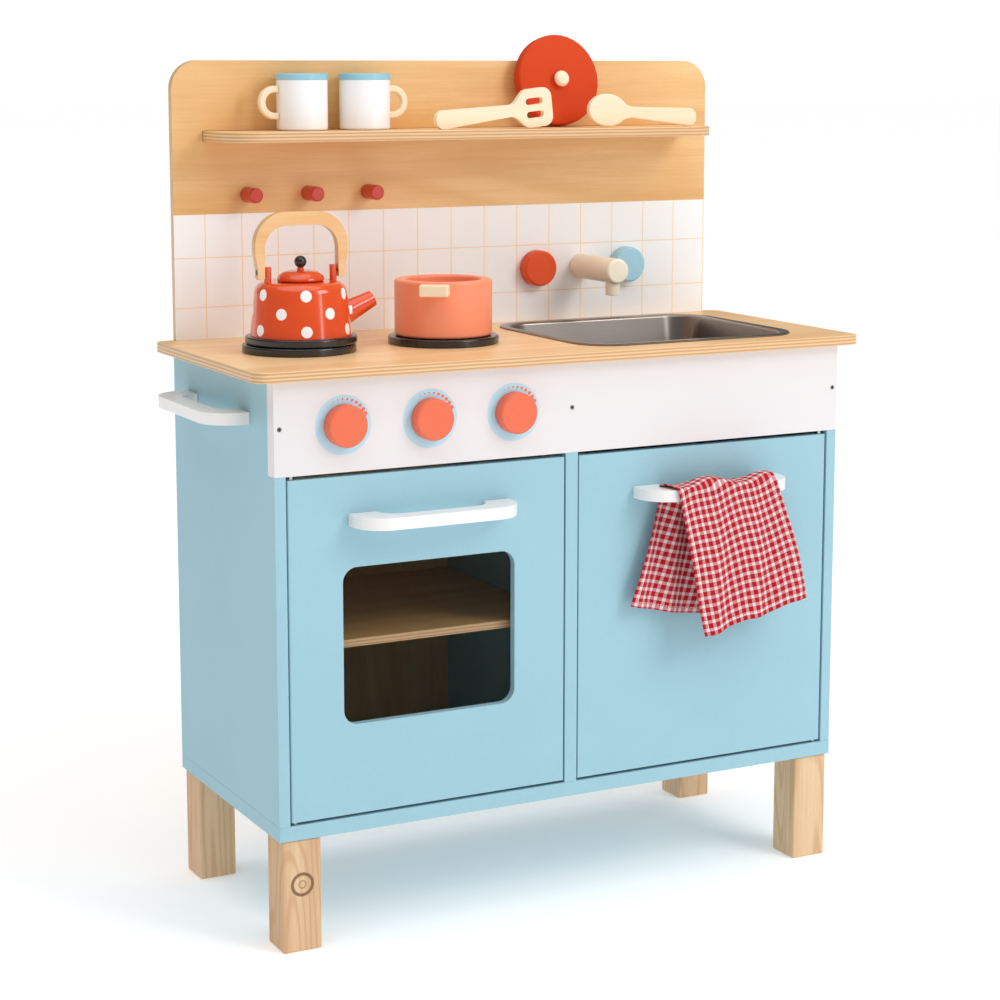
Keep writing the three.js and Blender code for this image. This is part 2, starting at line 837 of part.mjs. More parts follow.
function makeTapKnobs() {
  const names = ["tap_knob_hot", "tap_knob_cold"];
  const finishes = [redPaint, bluePaint];
  return tapPlaces.map((x, index) => {
    const knob = knobGeometry(tapKnobRadius, tapKnobLength, tapStemLength);
    return assembly(x, boardFront, tapZ, [piece(names[index], knob, finishes[index])]);
  });
}

/** A turned bar that stands out of the backboard on a spigot, along Z before it is laid over. */
function pegGeometry(radius, length, edge, sides) {
  const profile = [
    [0, -spigotLength],
    [spigotRadius, -spigotLength],
    [spigotRadius, glueGap],
    [radius, glueGap],
    [radius, length - edge],
    [radius - edge, length],
    [0, length],
  ];
  return turned(profile, sides).rotateX(Math.PI / 2);
}

function makePegs() {
  const names = ["peg_left", "peg_middle", "peg_right"];
  return pegPlaces.map((x, index) =>
    assembly(x, boardFront, pegZ, [piece(names[index], pegGeometry(pegRadius, pegLength, 1, 20), redPaint)]),
  );
}

function makeTapSpout() {
  const nozzleY = nozzleSetback - spoutLength;
  const nozzle = bar("z", nozzleRadius, -spoutRadius - nozzleDrop, 0, [0, nozzleY], 20);
  const spout = weld(pegGeometry(spoutRadius, spoutLength, 1.6, 28), nozzle);
  return assembly(cupboardMiddle, boardFront, tapZ, [piece("tap_spout", spout, paleBeech)]);
}

// ---------- Kettle ----------

/** The kettle's shell, with its spout and the two posts of its handle. */
function kettleShell() {
  const seat = kettleBaseHeight + glueGap;
  const shoulder = kettleHeight - kettleShoulder;
  const arc = (radius, turns) =>
    Array.from({ length: 5 }, (_, step) => {
      const angle = (step / 4) * turns;
      const centre = kettleTopRadius - kettleShoulder;
      return [centre + radius * Math.cos(angle), shoulder + radius * Math.sin(angle)];
    });
  const outer = turned(
    [
      [0, seat],
      [kettleFootRadius, seat],
      ...arc(kettleShoulder, Math.PI / 2),
      [0, kettleHeight],
    ],
    40,
  );
  const inner = turned(
    [
      [0, seat + kettleWall],
      [kettleFootRadius - kettleWall, seat + kettleWall],
      ...arc(kettleShoulder - kettleWall, Math.PI / 2),
      [0, kettleHeight - kettleWall],
    ],
    40,
  );
  const mouth = bar("z", kettleMouthRadius, kettleHeight - kettleWall - 1, kettleHeight + 1, [0, 0], 32);
  const posts = [-1, 1].map((side) =>
    bar("z", postRadius, kettleHeight - kettleShoulder, postHeight, [side * postSpread, 0], 16),
  );
  const pivotHoles = [-1, 1].map((side) => {
    const ends = [side * (postSpread - postRadius + 1), side * (postSpread + postRadius + 1)].sort((a, b) => a - b);
    return bar("x", pivotRadius + pinPlay, ...ends, [0, pivotHeight], 12);
  });
  const shell = weld(outer, kettleSpout(0), ...posts);
  return carve(shell, inner, mouth, kettleSpout(spoutWall), ...pivotHoles);
}

/** The spout's tapered solid, or its bore when a wall is taken off. */
function kettleSpout(wall) {
  const rise = THREE.MathUtils.degToRad(spoutRise);
  const length = spoutReach / Math.cos(rise) + (wall > 0 ? 2 : 0);
  const cone = new THREE.CylinderGeometry(spoutTipRadius - wall, spoutRootRadius - wall, length, 24);
  cone.translate(0, length / 2, 0).rotateX(Math.PI / 2).rotateY(Math.PI / 2 - rise);
  return cone.translate(spoutRootX, 0, spoutRootHeight);
}

function kettleArch() {
  const inner = archHalfWidth - archThicknessSide;
  const outerFoot = archFoot + archFootThickness;
  const innerCorner = archCornerRadius - archThicknessSide;
  const waist = archTop - archCornerRadius - archWaistRise;
  const footTop = pivotHeight + pivotHeadRadius + 1;
  const half = [
    [archFoot, archBottom + 2, 1],
    [outerFoot, archBottom, 3],
    [outerFoot, footTop, archWaistRadius],
    [archHalfWidth, waist, archWaistRadius],
    [archHalfWidth, archTop, archCornerRadius],
  ];
  const innerHalf = [[inner, archTop - archThicknessTop, innerCorner]];
  const mirrored = ([x, z, radius]) => [-x, z, radius];
  const outline = outlineOf([
    ...half,
    ...half.map(mirrored).reverse(),
    ...innerHalf.map(mirrored).reverse(),
    ...innerHalf,
  ]);
  const reach = archHalfWidth + 1;
  const pivotHole = bar("x", pivotRadius + pinPlay, -reach, reach, [0, pivotHeight], 12);
  const headHoles = [-1, 1].map((side) => {
    const ends = [side * (outerFoot - pivotHeadHeight - fitGap), side * reach].sort((a, b) => a - b);
    return bar("x", pivotHeadRadius + pinPlay, ...ends, [0, pivotHeight], 16);
  });
  return carve(upright(outline, -archDepth / 2, archDepth / 2), pivotHole, ...headHoles);
}

/** A screw, its head let into one foot of the arch and its shank into the post beside it. */
function pivotScrew(side) {
  const head = archFoot + archFootThickness - pivotHeadHeight;
  const tip = side * (postSpread - 1);
  const top = side * (head + pivotHeadHeight);
  const ends = [tip, top].sort((a, b) => a - b);
  const headEnds = [side * head, top].sort((a, b) => a - b);
  const shank = bar("x", pivotRadius, ...ends, [0, pivotHeight], 12);
  return weld(shank, bar("x", pivotHeadRadius, ...headEnds, [0, pivotHeight], 16));
}

function makeKettle() {
  const base = turned(
    [
      [0, 0],
      [kettleBaseRadius - 1, 0],
      [kettleBaseRadius, 1],
      [kettleBaseRadius, kettleBaseHeight - 1],
      [kettleBaseRadius - 1, kettleBaseHeight],
      [0, kettleBaseHeight],
    ],
    40,
  );
  const lidBottom = kettleHeight + fitGap;
  const lidTop = lidBottom + kettleLidHeight;
  const lid = turned(
    [
      [0, lidBottom - 3],
      [kettleMouthRadius - 2 * fitGap, lidBottom - 3],
      [kettleMouthRadius - 2 * fitGap, lidBottom],
      [kettleLidRadius - 1, lidBottom],
      [kettleLidRadius, lidBottom + 1.5],
      [kettleLidRadius * 0.93, lidBottom + kettleLidHeight * 0.55],
      [kettleLidRadius * 0.75, lidBottom + kettleLidHeight * 0.85],
      [kettleLidRadius * 0.5, lidTop],
      [3, lidTop],
      [3, lidTop + kettleLidNeck],
      [0, lidTop + kettleLidNeck],
    ],
    32,
  );
  const ball = new THREE.SphereGeometry(kettleBallRadius, 20, 14);
  const flat = -kettleBallRadius * 0.9;
  const knob = carve(ball, block(-9, 9, -9, 9, flat - 9, flat));
  const lidKnob = piece("kettle_lid_knob", knob, blackPaint);
  lidKnob.position.z = lidTop + kettleLidNeck + glueGap - flat;
  return assembly(hotplateLeftX + kettleTurn, hotplateY, hotplateTop + fitGap, [
    piece("kettle_base", base, blackPaint),
    piece("kettle_body", kettleShell(), redEnamel),
    piece("kettle_lid", lid, redEnamel),
    lidKnob,
    piece("kettle_handle", kettleArch(), birchPly),
    piece("kettle_screw_left", pivotScrew(-1), blackPaint),
    piece("kettle_screw_right", pivotScrew(1), blackPaint),
  ]);
}

// ---------- Pot and its lid ----------

function makePot() {
  const inner = potRadius - potWall;
  const body = turned(
    [
      [0, 0],
      [potRadius - 1.5, 0],
      [potRadius, 1.5],
      [potRadius, potHeight - potEdge],
      [potRadius - potEdge, potHeight],
      [inner + 1.5, potHeight],
      [inner, potHeight - 1.5],
      [inner, potFloor],
      [0, potFloor],
    ],
    40,
  );
  const reach = potRadius + potHandleDepth;
  const keepClear = bar("z", potRadius + fitGap, -1, potHeight + 1, [0, 0], 40);
  const grips = [
    ["pot_handle_front", -1],
    ["pot_handle_back", 1],
  ].map(([name, side]) => {
    const ends = [side * (potRadius - 4), side * reach].sort((a, b) => a - b);
    const half = potHandleWidth / 2;
    const grip = block(-half, half, ...ends, potHandleTop - potHandleHeight, potHandleTop);
    return piece(name, carve(grip, keepClear), paleBeech);
  });
  const pot = assembly(hotplateLeftX + hotplatePitch, hotplateY, hotplateTop + fitGap, [
    piece("pot_body", body, coralPaint),
    ...grips,
  ]);
  pot.rotation.z = THREE.MathUtils.degToRad(-potTurn);
  return pot;
}

/** The pot's lid, standing on its edge on the shelf and leaning on the backboard. */
function makePotLid() {
  const lean = THREE.MathUtils.degToRad(potLidLean);
  const disc = turned(
    [
      [0, 0],
      [potLidRadius - 1.5, 0],
      [potLidRadius, 1.5],
      [potLidRadius, potLidThickness - potEdge],
      [potLidRadius - potEdge, potLidThickness],
      [0, potLidThickness],
    ],
    40,
  );
  const knob = turned(
    [
      [0, potLidThickness + glueGap],
      [potLidKnobRadius * 0.7, potLidThickness + glueGap],
      [potLidKnobRadius, potLidThickness + potLidKnobHeight * 0.45],
      [potLidKnobRadius, potLidThickness + potLidKnobHeight * 0.7],
      [potLidKnobRadius * 0.7, potLidThickness + potLidKnobHeight],
      [0, potLidThickness + potLidKnobHeight],
    ],
    24,
  );
  const reachBack = potLidRadius * Math.sin(lean);
  const rise = potLidRadius * Math.cos(lean);
  const y = boardFront - fitGap - reachBack;
  const z = shelfTop + fitGap + rise;
  const lid = assembly(potLidX, y, z, [
    piece("pot_lid", disc, redEnamel),
    piece("pot_lid_knob", knob, paleBeech),
  ]);
  lid.rotation.x = Math.PI / 2 - lean;
  return lid;
}

// ---------- Mugs ----------

function mugGeometry() {
  const inner = mugRadius - mugWall;
  const lip = mugRadius + mugRimLip;
  return turned(
    [
      [0, 0],
      [mugRadius - 1.5, 0],
      [mugRadius, 1.5],
      [mugRadius, mugHeight - mugRimHeight],
      [lip, mugHeight - mugRimHeight + mugRimLip],
      [lip, mugHeight - 1],
      [lip - 1, mugHeight],
      [inner + 0.5, mugHeight],
      [inner, mugHeight - 1],
      [inner, mugFloor],
      [0, mugFloor],
    ],
    32,
  );
}

/** A half-round handle beside the mug, reaching towards -X or +X. */
function mugHandleGeometry(side) {
  const half = mugHandleHeight / 2;
  const ringRadius = half;
  const reachCentre = mugRadius + mugHandleReach - ringRadius;
  const ring = new THREE.Shape();
  ring.moveTo(mugRadius - 3, -half);
  ring.lineTo(reachCentre, -half);
  ring.absarc(reachCentre, 0, ringRadius, -Math.PI / 2, Math.PI / 2, false);
  ring.lineTo(mugRadius - 3, half);
  ring.closePath();
  const inside = ringRadius - mugHandleThickness;
  const hole = new THREE.Shape();
  hole.moveTo(mugRadius - 4, -inside);
  hole.lineTo(reachCentre, -inside);
  hole.absarc(reachCentre, 0, inside, -Math.PI / 2, Math.PI / 2, false);
  hole.lineTo(mugRadius - 4, inside);
  hole.closePath();
  const solid = upright(ring, -mugHandleDepth / 2, mugHandleDepth / 2, 12);
  const loop = upright(hole, -mugHandleDepth, mugHandleDepth, 12);
  const keepClear = bar("z", mugRadius + fitGap, -half - 1, half + 1, [0, 0], 32);
  const handle = carve(solid, loop, keepClear);
  if (side < 0) handle.rotateZ(Math.PI);
  return handle.translate(0, 0, mugHandleBottom + half);
}

function makeMugs() {
  const mugs = [
    ["mug_left", mugLeftX, -1],
    ["mug_right", mugLeftX + mugPitch, 1],
  ];
  return mugs.map(([name, x, side]) =>
    assembly(x, boardFront - mugFromBoard, shelfTop + fitGap, [
      piece(name, mugGeometry(), whitePaint),
      piece(`${name}_handle`, mugHandleGeometry(side), paleBeech),
    ]),
  );
}

// ---------- Spatula and spoon ----------

/** The spatula's outline with its head to the right: a tapered grip, a neck and a rounded blade. */
function spatulaOutline() {
  const half = spatulaLength / 2;
  const neck = half - spatulaHeadLength;
  const shoulder = neck + spatulaHeadLength * 0.45;
  const neckHalf = utensilNeckWidth / 2;
  const headHalf = spatulaHeadWidth / 2;
  const endHalf = utensilEndWidth / 2;
  const round = endHalf - 1;
  const shape = new THREE.Shape();
  shape.moveTo(-half + round, -endHalf);
  shape.lineTo(neck, -neckHalf);
  shape.bezierCurveTo(neck + 9, -neckHalf, shoulder - 9, -headHalf, shoulder, -headHalf);
  shape.lineTo(half - bladeCornerRadius, -headHalf);
  shape.absarc(half - bladeCornerRadius, -headHalf + bladeCornerRadius, bladeCornerRadius, -Math.PI / 2, 0);
  shape.absarc(half - bladeCornerRadius, headHalf - bladeCornerRadius, bladeCornerRadius, 0, Math.PI / 2);
  shape.lineTo(shoulder, headHalf);
  shape.bezierCurveTo(shoulder - 9, headHalf, neck + 9, neckHalf, neck, neckHalf);
  shape.lineTo(-half + round, endHalf);
  shape.absarc(-half + round, endHalf - round, round, Math.PI / 2, Math.PI);
  shape.absarc(-half + round, -endHalf + round, round, Math.PI, 1.5 * Math.PI);
  return shape;
}

/** The angle at which a utensil rests on its head and the end of its grip. */
function restingTilt(length, headWidth) {
  return Math.atan2((headWidth - utensilEndWidth) / 2, length * 0.7);
}

function makeUtensils() {
  const spatula = spatulaOutline();
  const slotMiddle = spatulaLength / 2 - spatulaHeadLength * 0.42;
  const slots = [-1, 1].map((side) => {
    const z = side * slotWidth;
    const [x0, x1] = [slotMiddle - slotLength / 2, slotMiddle + slotLength / 2];
    const outline = roundedRectangle(x0, x1, z - slotWidth / 2, z + slotWidth / 2, slotWidth / 2 - 0.1);
    return upright(outline, -utensilThickness, utensilThickness, 4);
  });
  const half = utensilThickness / 2;
  const flipper = carve(upright(spatula, -half, half, 6), ...slots);
  const bowl = spoonOutline();
  const y = shelfFront + utensilSetback;
  const spatulaTilt = restingTilt(spatulaLength, spatulaHeadWidth);
  const spatulaGroup = assembly(spatulaX, y, 0, [piece("spatula", flipper, paleBeech)]);
  spatulaGroup.rotation.y = -spatulaTilt;
  const spoonTilt = restingTilt(spoonLength, spoonBowlWidth);
  const spoonGroup = assembly(spoonX, y, 0, [piece("spoon", upright(bowl, -half, half, 12), paleBeech)]);
  spoonGroup.rotation.y = spoonTilt;
  return [settle(spatulaGroup), settle(spoonGroup)];
}

/** A spoon's outline with its bowl to the left. */
function spoonOutline() {
  const half = spoonLength / 2;
  const bowlCentre = -half + spoonBowlLength / 2;
  const neckHalf = utensilNeckWidth / 2;
  const endHalf = utensilEndWidth / 2;
  const round = endHalf - 1;
  const meet = Math.asin((neckHalf + spoonFillet) / (spoonBowlWidth / 2));
  const start = bowlCentre + (spoonBowlLength / 2) * Math.cos(meet);
  const neck = start + spoonNeck;
  const shape = new THREE.Shape();
  shape.moveTo(start, -neckHalf - spoonFillet);
  shape.quadraticCurveTo(start + spoonNeck / 3, -neckHalf, neck, -neckHalf);
  shape.lineTo(half - round, -endHalf);
  shape.absarc(half - round, -endHalf + round, round, -Math.PI / 2, 0, false);
  shape.absarc(half - round, endHalf - round, round, 0, Math.PI / 2, false);
  shape.lineTo(neck, neckHalf);
  shape.quadraticCurveTo(start + spoonNeck / 3, neckHalf, start, neckHalf + spoonFillet);
  shape.absellipse(bowlCentre, 0, spoonBowlLength / 2, spoonBowlWidth / 2, meet, 2 * Math.PI - meet, false, 0);
  return shape;
}

/** Lowers or lifts a group until it stands on the shelf. */
function settle(group) {
  const lowest = new THREE.Box3().setFromObject(group, true).min.z;
  group.position.z += shelfTop + fitGap - lowest;
  return group;
}

// ---------- Towel ----------

/** The towel over the cupboard's handle: a flap in front, a shorter one behind, and the fold on top. */
function makeTowel() {
  const barTop = doorTop - doorHandleDrop;
  const barFront = doorFace - glueGap - handleProjection;
  const barBack = barFront + handleBarDepth;
  const clear = towelStandOff;
  const foldBottom = barTop + clear;
  const foldTop = foldBottom + towelThickness;
  const [x0, x1] = [towelTopLeft, towelTopRight];
  const frontShift = towelSlant * towelFrontFall;
  const backShift = towelSlant * towelBackFall;
  const underBar = barTop - handleThickness - clear;
  const gapLeft = cupboardMiddle - handleLength / 2 + handleFootLength + handleInnerRadius + clear;
  const gapRight = x1 - 30;
  const frontFlap = outlineOf([
    [x0 + frontShift + 6, foldTop - towelFrontFall - 12],
    [x1 + frontShift - 6, foldTop - towelFrontFall],
    [x1, foldTop],
    [x0, foldTop],
  ]);
  const backFlap = outlineOf([
    [x0 - backShift + 16, foldTop - towelBackFall],
    [x0 - backShift + 99, foldTop - towelBackFall - 28],
    [gapRight, underBar],
    [gapRight, foldTop],
    [gapLeft, foldTop],
    [gapLeft, underBar],
    [x0, underBar - 4],
  ]);
  const frontY = barFront - clear - towelThickness;
  const backY = barBack + clear;
  const towel = weld(
    upright(frontFlap, frontY, frontY + towelThickness),
    upright(backFlap, backY, backY + towelThickness),
    block(x0, gapRight, frontY, backY + towelThickness, foldBottom, foldTop),
  );
  return piece("towel", towel, cloth);
}

// ---------- The kitchen ----------

/** Moves the kitchen so that its origin is on the floor under the middle of its outer box. */
function centred(kitchen) {
  const box = new THREE.Box3().setFromObject(kitchen, true);
  kitchen.position.set(-(box.min.x + box.max.x) / 2, -(box.min.y + box.max.y) / 2, 0);
  return kitchen;
}

const kitchen = new THREE.Group();
kitchen.add(
  ...makeUprights(),
  makeBottomBoard(),
  makeFascia(),
  ...makeFasciaScrews(),
  makeBackPanel(),
  makeOvenShelf(),
  ...makeLegs(),
  ...makeOvenDoor(),
  makeCupboardDoor(),
  ...makeHingePins(),
  ...makeCatches(),
  ...makeHandles(),
  makeWorktop(),
  makeSink(),
  ...makeHotplates(),
  makeBackboard(),
  makeUpperShelf(),
  ...makeDials(),
  ...makeTapKnobs(),
  makeTapSpout(),
  ...makePegs(),
  makeKettle(),
  makePot(),
  makePotLid(),
  ...makeMugs(),
  ...makeUtensils(),
  makeTowel(),
);

export default centred(kitchen);
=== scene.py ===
"""Finishes, softened edges, draped towel, floor, light and camera of the wooden toy kitchen."""
import math

import bpy
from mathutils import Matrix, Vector


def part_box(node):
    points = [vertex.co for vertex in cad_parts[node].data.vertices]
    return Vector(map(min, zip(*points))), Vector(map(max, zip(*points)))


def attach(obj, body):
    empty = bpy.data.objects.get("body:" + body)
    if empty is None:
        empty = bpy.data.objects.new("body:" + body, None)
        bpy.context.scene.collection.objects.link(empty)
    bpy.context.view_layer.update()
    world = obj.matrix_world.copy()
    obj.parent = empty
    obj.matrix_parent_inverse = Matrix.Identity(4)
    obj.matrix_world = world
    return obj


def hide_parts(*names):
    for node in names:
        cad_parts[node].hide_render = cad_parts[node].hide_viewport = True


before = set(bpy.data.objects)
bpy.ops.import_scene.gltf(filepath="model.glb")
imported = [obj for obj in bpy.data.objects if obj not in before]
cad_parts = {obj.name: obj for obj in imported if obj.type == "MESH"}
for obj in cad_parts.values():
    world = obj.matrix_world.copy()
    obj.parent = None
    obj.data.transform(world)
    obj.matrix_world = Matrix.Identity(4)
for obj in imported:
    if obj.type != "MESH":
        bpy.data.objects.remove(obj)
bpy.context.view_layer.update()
MM = 0.001

# The towel's cloth laid flat, and how it lies on the handle
TOWEL_WIDTH = 114 * MM
TOWEL_LENGTH = 272 * MM
TOWEL_TILT = math.radians(12.5)
TOWEL_MIDDLE = 79 * MM  # from the handle's left end to the towel's middle
TOWEL_GATHER = 72 * MM  # from the same end to where the cloth behind is drawn together
TOWEL_BACK_EXTRA = -2 * MM  # length moved behind the bar; below zero it goes to the front
HEM = 5.5 * MM
CHECK_PERIOD = 7.3 * MM


# ---------- Places taken from the frame ----------

def middle(node):
    """The middle of a piece's box."""
    low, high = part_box(node)
    return (low + high) / 2


def hexed(red, green, blue):
    """A display colour from 0 to 255 as the linear colour that a shader takes."""
    def linear(part):
        part /= 255
        return part / 12.92 if part <= 0.04045 else ((part + 0.055) / 1.055) ** 2.4
    return (linear(red), linear(green), linear(blue), 1.0)


# ---------- Shader arithmetic ----------

class Value:
    """A number that varies over a surface. Arithmetic on it adds the nodes."""

    def __init__(self, paint, socket):
        self.paint = paint
        self.socket = socket

    def math(self, operation, *others):
        settings = {"operation": operation}
        return self.paint.node("ShaderNodeMath", settings, [self, *others])

    def __add__(self, other):
        return self.math("ADD", other)

    def __sub__(self, other):
        return self.math("SUBTRACT", other)

    def __rsub__(self, other):
        return self.math("MULTIPLY_ADD", -1.0, other)

    def __mul__(self, other):
        return self.math("MULTIPLY", other)

    def __truediv__(self, other):
        return self.math("DIVIDE", other)

    def __mod__(self, other):
        return self.math("FLOORED_MODULO", other)

    def __abs__(self):
        return self.math("ABSOLUTE")

    def __gt__(self, other):
        return self.math("GREATER_THAN", other)

    def __lt__(self, other):
        return self.math("LESS_THAN", other)

    def below(self, edge, soft):
        """1 under the edge and 0 over it, with a soft step between."""
        settings = {"interpolation_type": "SMOOTHSTEP"}
        values = {
            "Value": self,
            "From Min": edge - soft,
            "From Max": edge + soft,
            "To Min": 1.0,
            "To Max": 0.0,
        }
        return self.paint.node("ShaderNodeMapRange", settings, values)

    def spread(self, low, high):
        """A value from 0 to 1 carried to the range from low to high."""
        return self * (high - low) + low


class Paint:
    """A material under construction: its nodes, its places on the piece and its finished surface."""

    def __init__(self, name):
        self.material = bpy.data.materials.new(name)
        self.material.use_nodes = True
        self.tree = self.material.node_tree
        self.shader = self.tree.nodes["Principled BSDF"]

    def node(self, kind, settings=None, values=None, output=0):
        """Adds one node: its settings first, then its sockets' values or links. Returns one output."""
        made = self.tree.nodes.new(kind)
        for key, setting in (settings or {}).items():
            setattr(made, key, setting)
        pairs = values.items() if isinstance(values, dict) else enumerate(values or [])
        for key, value in pairs:
            self.feed(made.inputs[key], value)
        return Value(self, made.outputs[output])

    def feed(self, socket, value):
        if isinstance(value, Value):
            self.tree.links.new(value.socket, socket)
        else:
            socket.default_value = value

    def place(self):
        """The point on the piece, in the frame's metres."""
        return self.node("ShaderNodeTexCoord", output="Object")

    def facing(self):
        """The three parts of the surface's direction on the piece."""
        return self.split(self.node("ShaderNodeTexCoord", output="Normal"))

    def split(self, vector):
        parts = self.tree.nodes.new("ShaderNodeSeparateXYZ")
        self.feed(parts.inputs[0], vector)
        return [Value(self, output) for output in parts.outputs]

    def stretch(self, vector, factors, shift=(0, 0, 0)):
        scaled = self.node("ShaderNodeVectorMath", {"operation": "MULTIPLY"}, [vector, factors])
        return self.node("ShaderNodeVectorMath", {"operation": "ADD"}, [scaled, shift])

    def noise(self, factors, detail=3.0, rough=0.5, shift=(0, 0, 0), vector=None):
        """Noise with so many cells per metre along X, Y and Z."""
        place = self.stretch(vector or self.place(), factors, shift)
        values = {"Vector": place, "Scale": 1.0, "Detail": detail, "Roughness": rough}
        return self.node("ShaderNodeTexNoise", {}, values)

    def mix(self, factor, first, second):
        """Two colours mixed by a factor."""
        made = self.tree.nodes.new("ShaderNodeMix")
        made.data_type = "RGBA"
        self.feed(made.inputs[0], factor)
        self.feed(made.inputs[6], first)
        self.feed(made.inputs[7], second)
        return Value(self, made.outputs[2])

    def length(self, x, y):
        """The length of a flat vector from its two parts."""
        vector = self.node("ShaderNodeCombineXYZ", {}, [x, y])
        made = self.tree.nodes.new("ShaderNodeVectorMath")
        made.operation = "LENGTH"
        self.feed(made.inputs[0], vector)
        return Value(self, made.outputs["Value"])

    def finish(self, colour, roughness, bump=None, depth=0.1 * MM, strength=0.6, **constants):
        """Connects the surface. Depth is how high the bump's full range stands, in metres."""
        self.feed(self.shader.inputs["Base Color"], colour)
        self.feed(self.shader.inputs["Roughness"], roughness)
        for name, value in constants.items():
            self.shader.inputs[name.replace("_", " ")].default_value = value
        if bump is not None:
            values = {"Height": bump, "Distance": depth, "Strength": strength}
            self.feed(self.shader.inputs["Normal"], self.node("ShaderNodeBump", {}, values))
        return self.material


# ---------- Wood ----------

def along(axis, lengthwise, across):
    """Noise cells per metre: few along the grain's axis, many across it."""
    return tuple(lengthwise if index == axis else across for index in range(3))


def wood_colour(paint, light, dark, grain, seed=0.0, contrast=1.0, figure=0.0):
    """Soft grain: broad bands, finer streaks, short dark flecks and, on veneer, curved figure."""
    shift = (seed, seed * 0.7, seed * 1.3)
    warp = paint.noise(along(grain, 2.2, 9), 2.0, 0.5, shift)
    bands = paint.noise(along(grain, 3.0, 42), 3.0, 0.55, shift)
    streaks = paint.noise(along(grain, 16, 420), 2.0, 0.6, shift)
    flecks = paint.noise(along(grain, 130, 1500), 1.0, 0.5, shift)
    tone = warp * 0.4 + bands * 0.42 + streaks * 0.18
    shade = paint.node("ShaderNodeMapRange", {}, {"Value": tone, "From Min": 0.38, "From Max": 0.62})
    colour = paint.mix(shade * contrast, light, dark)
    if figure > 0:
        hill = paint.noise(along(grain, 1.3, 5.5), 1.5, 0.4, (seed + 3, seed, seed * 2))
        loop = abs(((hill * 15) % 1.0) - 0.5).below(0.2, 0.2)
        colour = paint.mix(loop * figure, colour, dark)
    fleck = 1 - flecks.below(0.64, 0.05)
    colour = paint.mix(fleck * 0.22 * contrast, colour, dark)
    return colour, streaks * 0.6 + flecks * 0.4


PLY_LIGHT = hexed(244, 203, 144)
PLY_DARK = hexed(224, 170, 100)


def plywood(name, thickness_axis, low, thickness, layers, grain=0, light=None, dark=None, seed=0.0):
    """Birch plywood: lacquered face veneer, and its layers where the edge shows."""
    paint = Paint(name)
    light = light or PLY_LIGHT
    dark = dark or PLY_DARK
    colour, height = wood_colour(paint, light, dark, grain, seed, figure=0.4)
    depth = (paint.split(paint.place())[thickness_axis] - low) / thickness * layers
    wobble = paint.noise((30, 30, 30), 2.0, 0.5, (seed, 0, 0)) * 0.5 - 0.25
    layer = (depth + wobble) % 2.0
    dark_layer = abs(layer - 1.0).below(0.5, 0.16)
    glue = abs(((depth + wobble) % 1.0) - 0.5).below(0.43, 0.06)
    fibres = paint.noise((900, 900, 900), 1.0, 0.5)
    edge = paint.mix(dark_layer, hexed(238, 202, 154), hexed(204, 156, 108))
    edge = paint.mix((1 - glue) * 0.32, edge, hexed(164, 116, 76))
    edge = paint.mix(fibres * 0.3, edge, hexed(205, 160, 112))
    on_face = 1 - abs(paint.facing()[thickness_axis]).below(0.75, 0.12)
    colour = paint.mix(on_face, edge, colour)
    rough = paint.noise(along(grain, 8, 160), 2.0).spread(0.34, 0.5)
    return paint, colour, rough, height


def plain_ply(name, thickness_axis, node, layers, **how):
    low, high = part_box(node)
    bottom = low[thickness_axis]
    thickness = high[thickness_axis] - bottom
    paint, colour, rough, height = plywood(name, thickness_axis, bottom, thickness, layers, **how)
    return paint.finish(colour, rough, height, 0.05 * MM, Coat_Weight=0.25, Coat_Roughness=0.3)


def solid_wood(name, light, dark, grain, seed):
    """Sanded beech with a thin matt lacquer."""
    paint = Paint(name)
    colour, height = wood_colour(paint, light, dark, grain, seed, contrast=0.8)
    rough = paint.noise(along(grain, 20, 200), 2.0).spread(0.42, 0.58)
    return paint.finish(colour, rough, height, 0.06 * MM, Coat_Weight=0.08, Coat_Roughness=0.4)


def leg_wood():
    """Pine legs with upright grain and, burnt into the front left one, a ring with a finer one inside."""
    paint = Paint("leg_wood")
    x, y, z = paint.split(paint.place())
    colour, height = wood_colour(paint, hexed(232, 199, 160), hexed(206, 165, 122), 2, 3.0)
    low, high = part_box("leg_front_left")
    rings_x = (low.x + high.x) / 2
    rings_z = low.z + 0.6 * (high.z - low.z)
    lines = paint.noise(along(2, 2.5, 26), 1.0, 0.4, (7, 0, 0))
    growth = abs(((lines * 14) % 1.0) - 0.5).below(0.14, 0.12)
    colour = paint.mix(growth * 0.4, colour, hexed(188, 134, 88))
    outer_ring = 9.2 * MM
    inner_ring = 3.2 * MM
    away = paint.length(x - rings_x, z - rings_z)
    broad = abs(away - outer_ring).below(1.4 * MM, 0.4 * MM)
    fine = abs(away - inner_ring).below(0.5 * MM, 0.3 * MM)
    front = y.below(low.y + 2 * MM, 0.5 * MM)
    burn = (broad * 0.85 + fine * 0.6) * front
    colour = paint.mix(burn, colour, hexed(112, 66, 36))
    rough = paint.noise(along(2, 14, 160), 2.0).spread(0.5, 0.66)
    return paint.finish(colour, rough, height, 0.08 * MM, Coat_Weight=0.05, Coat_Roughness=0.4)


# ---------- Paint and print ----------

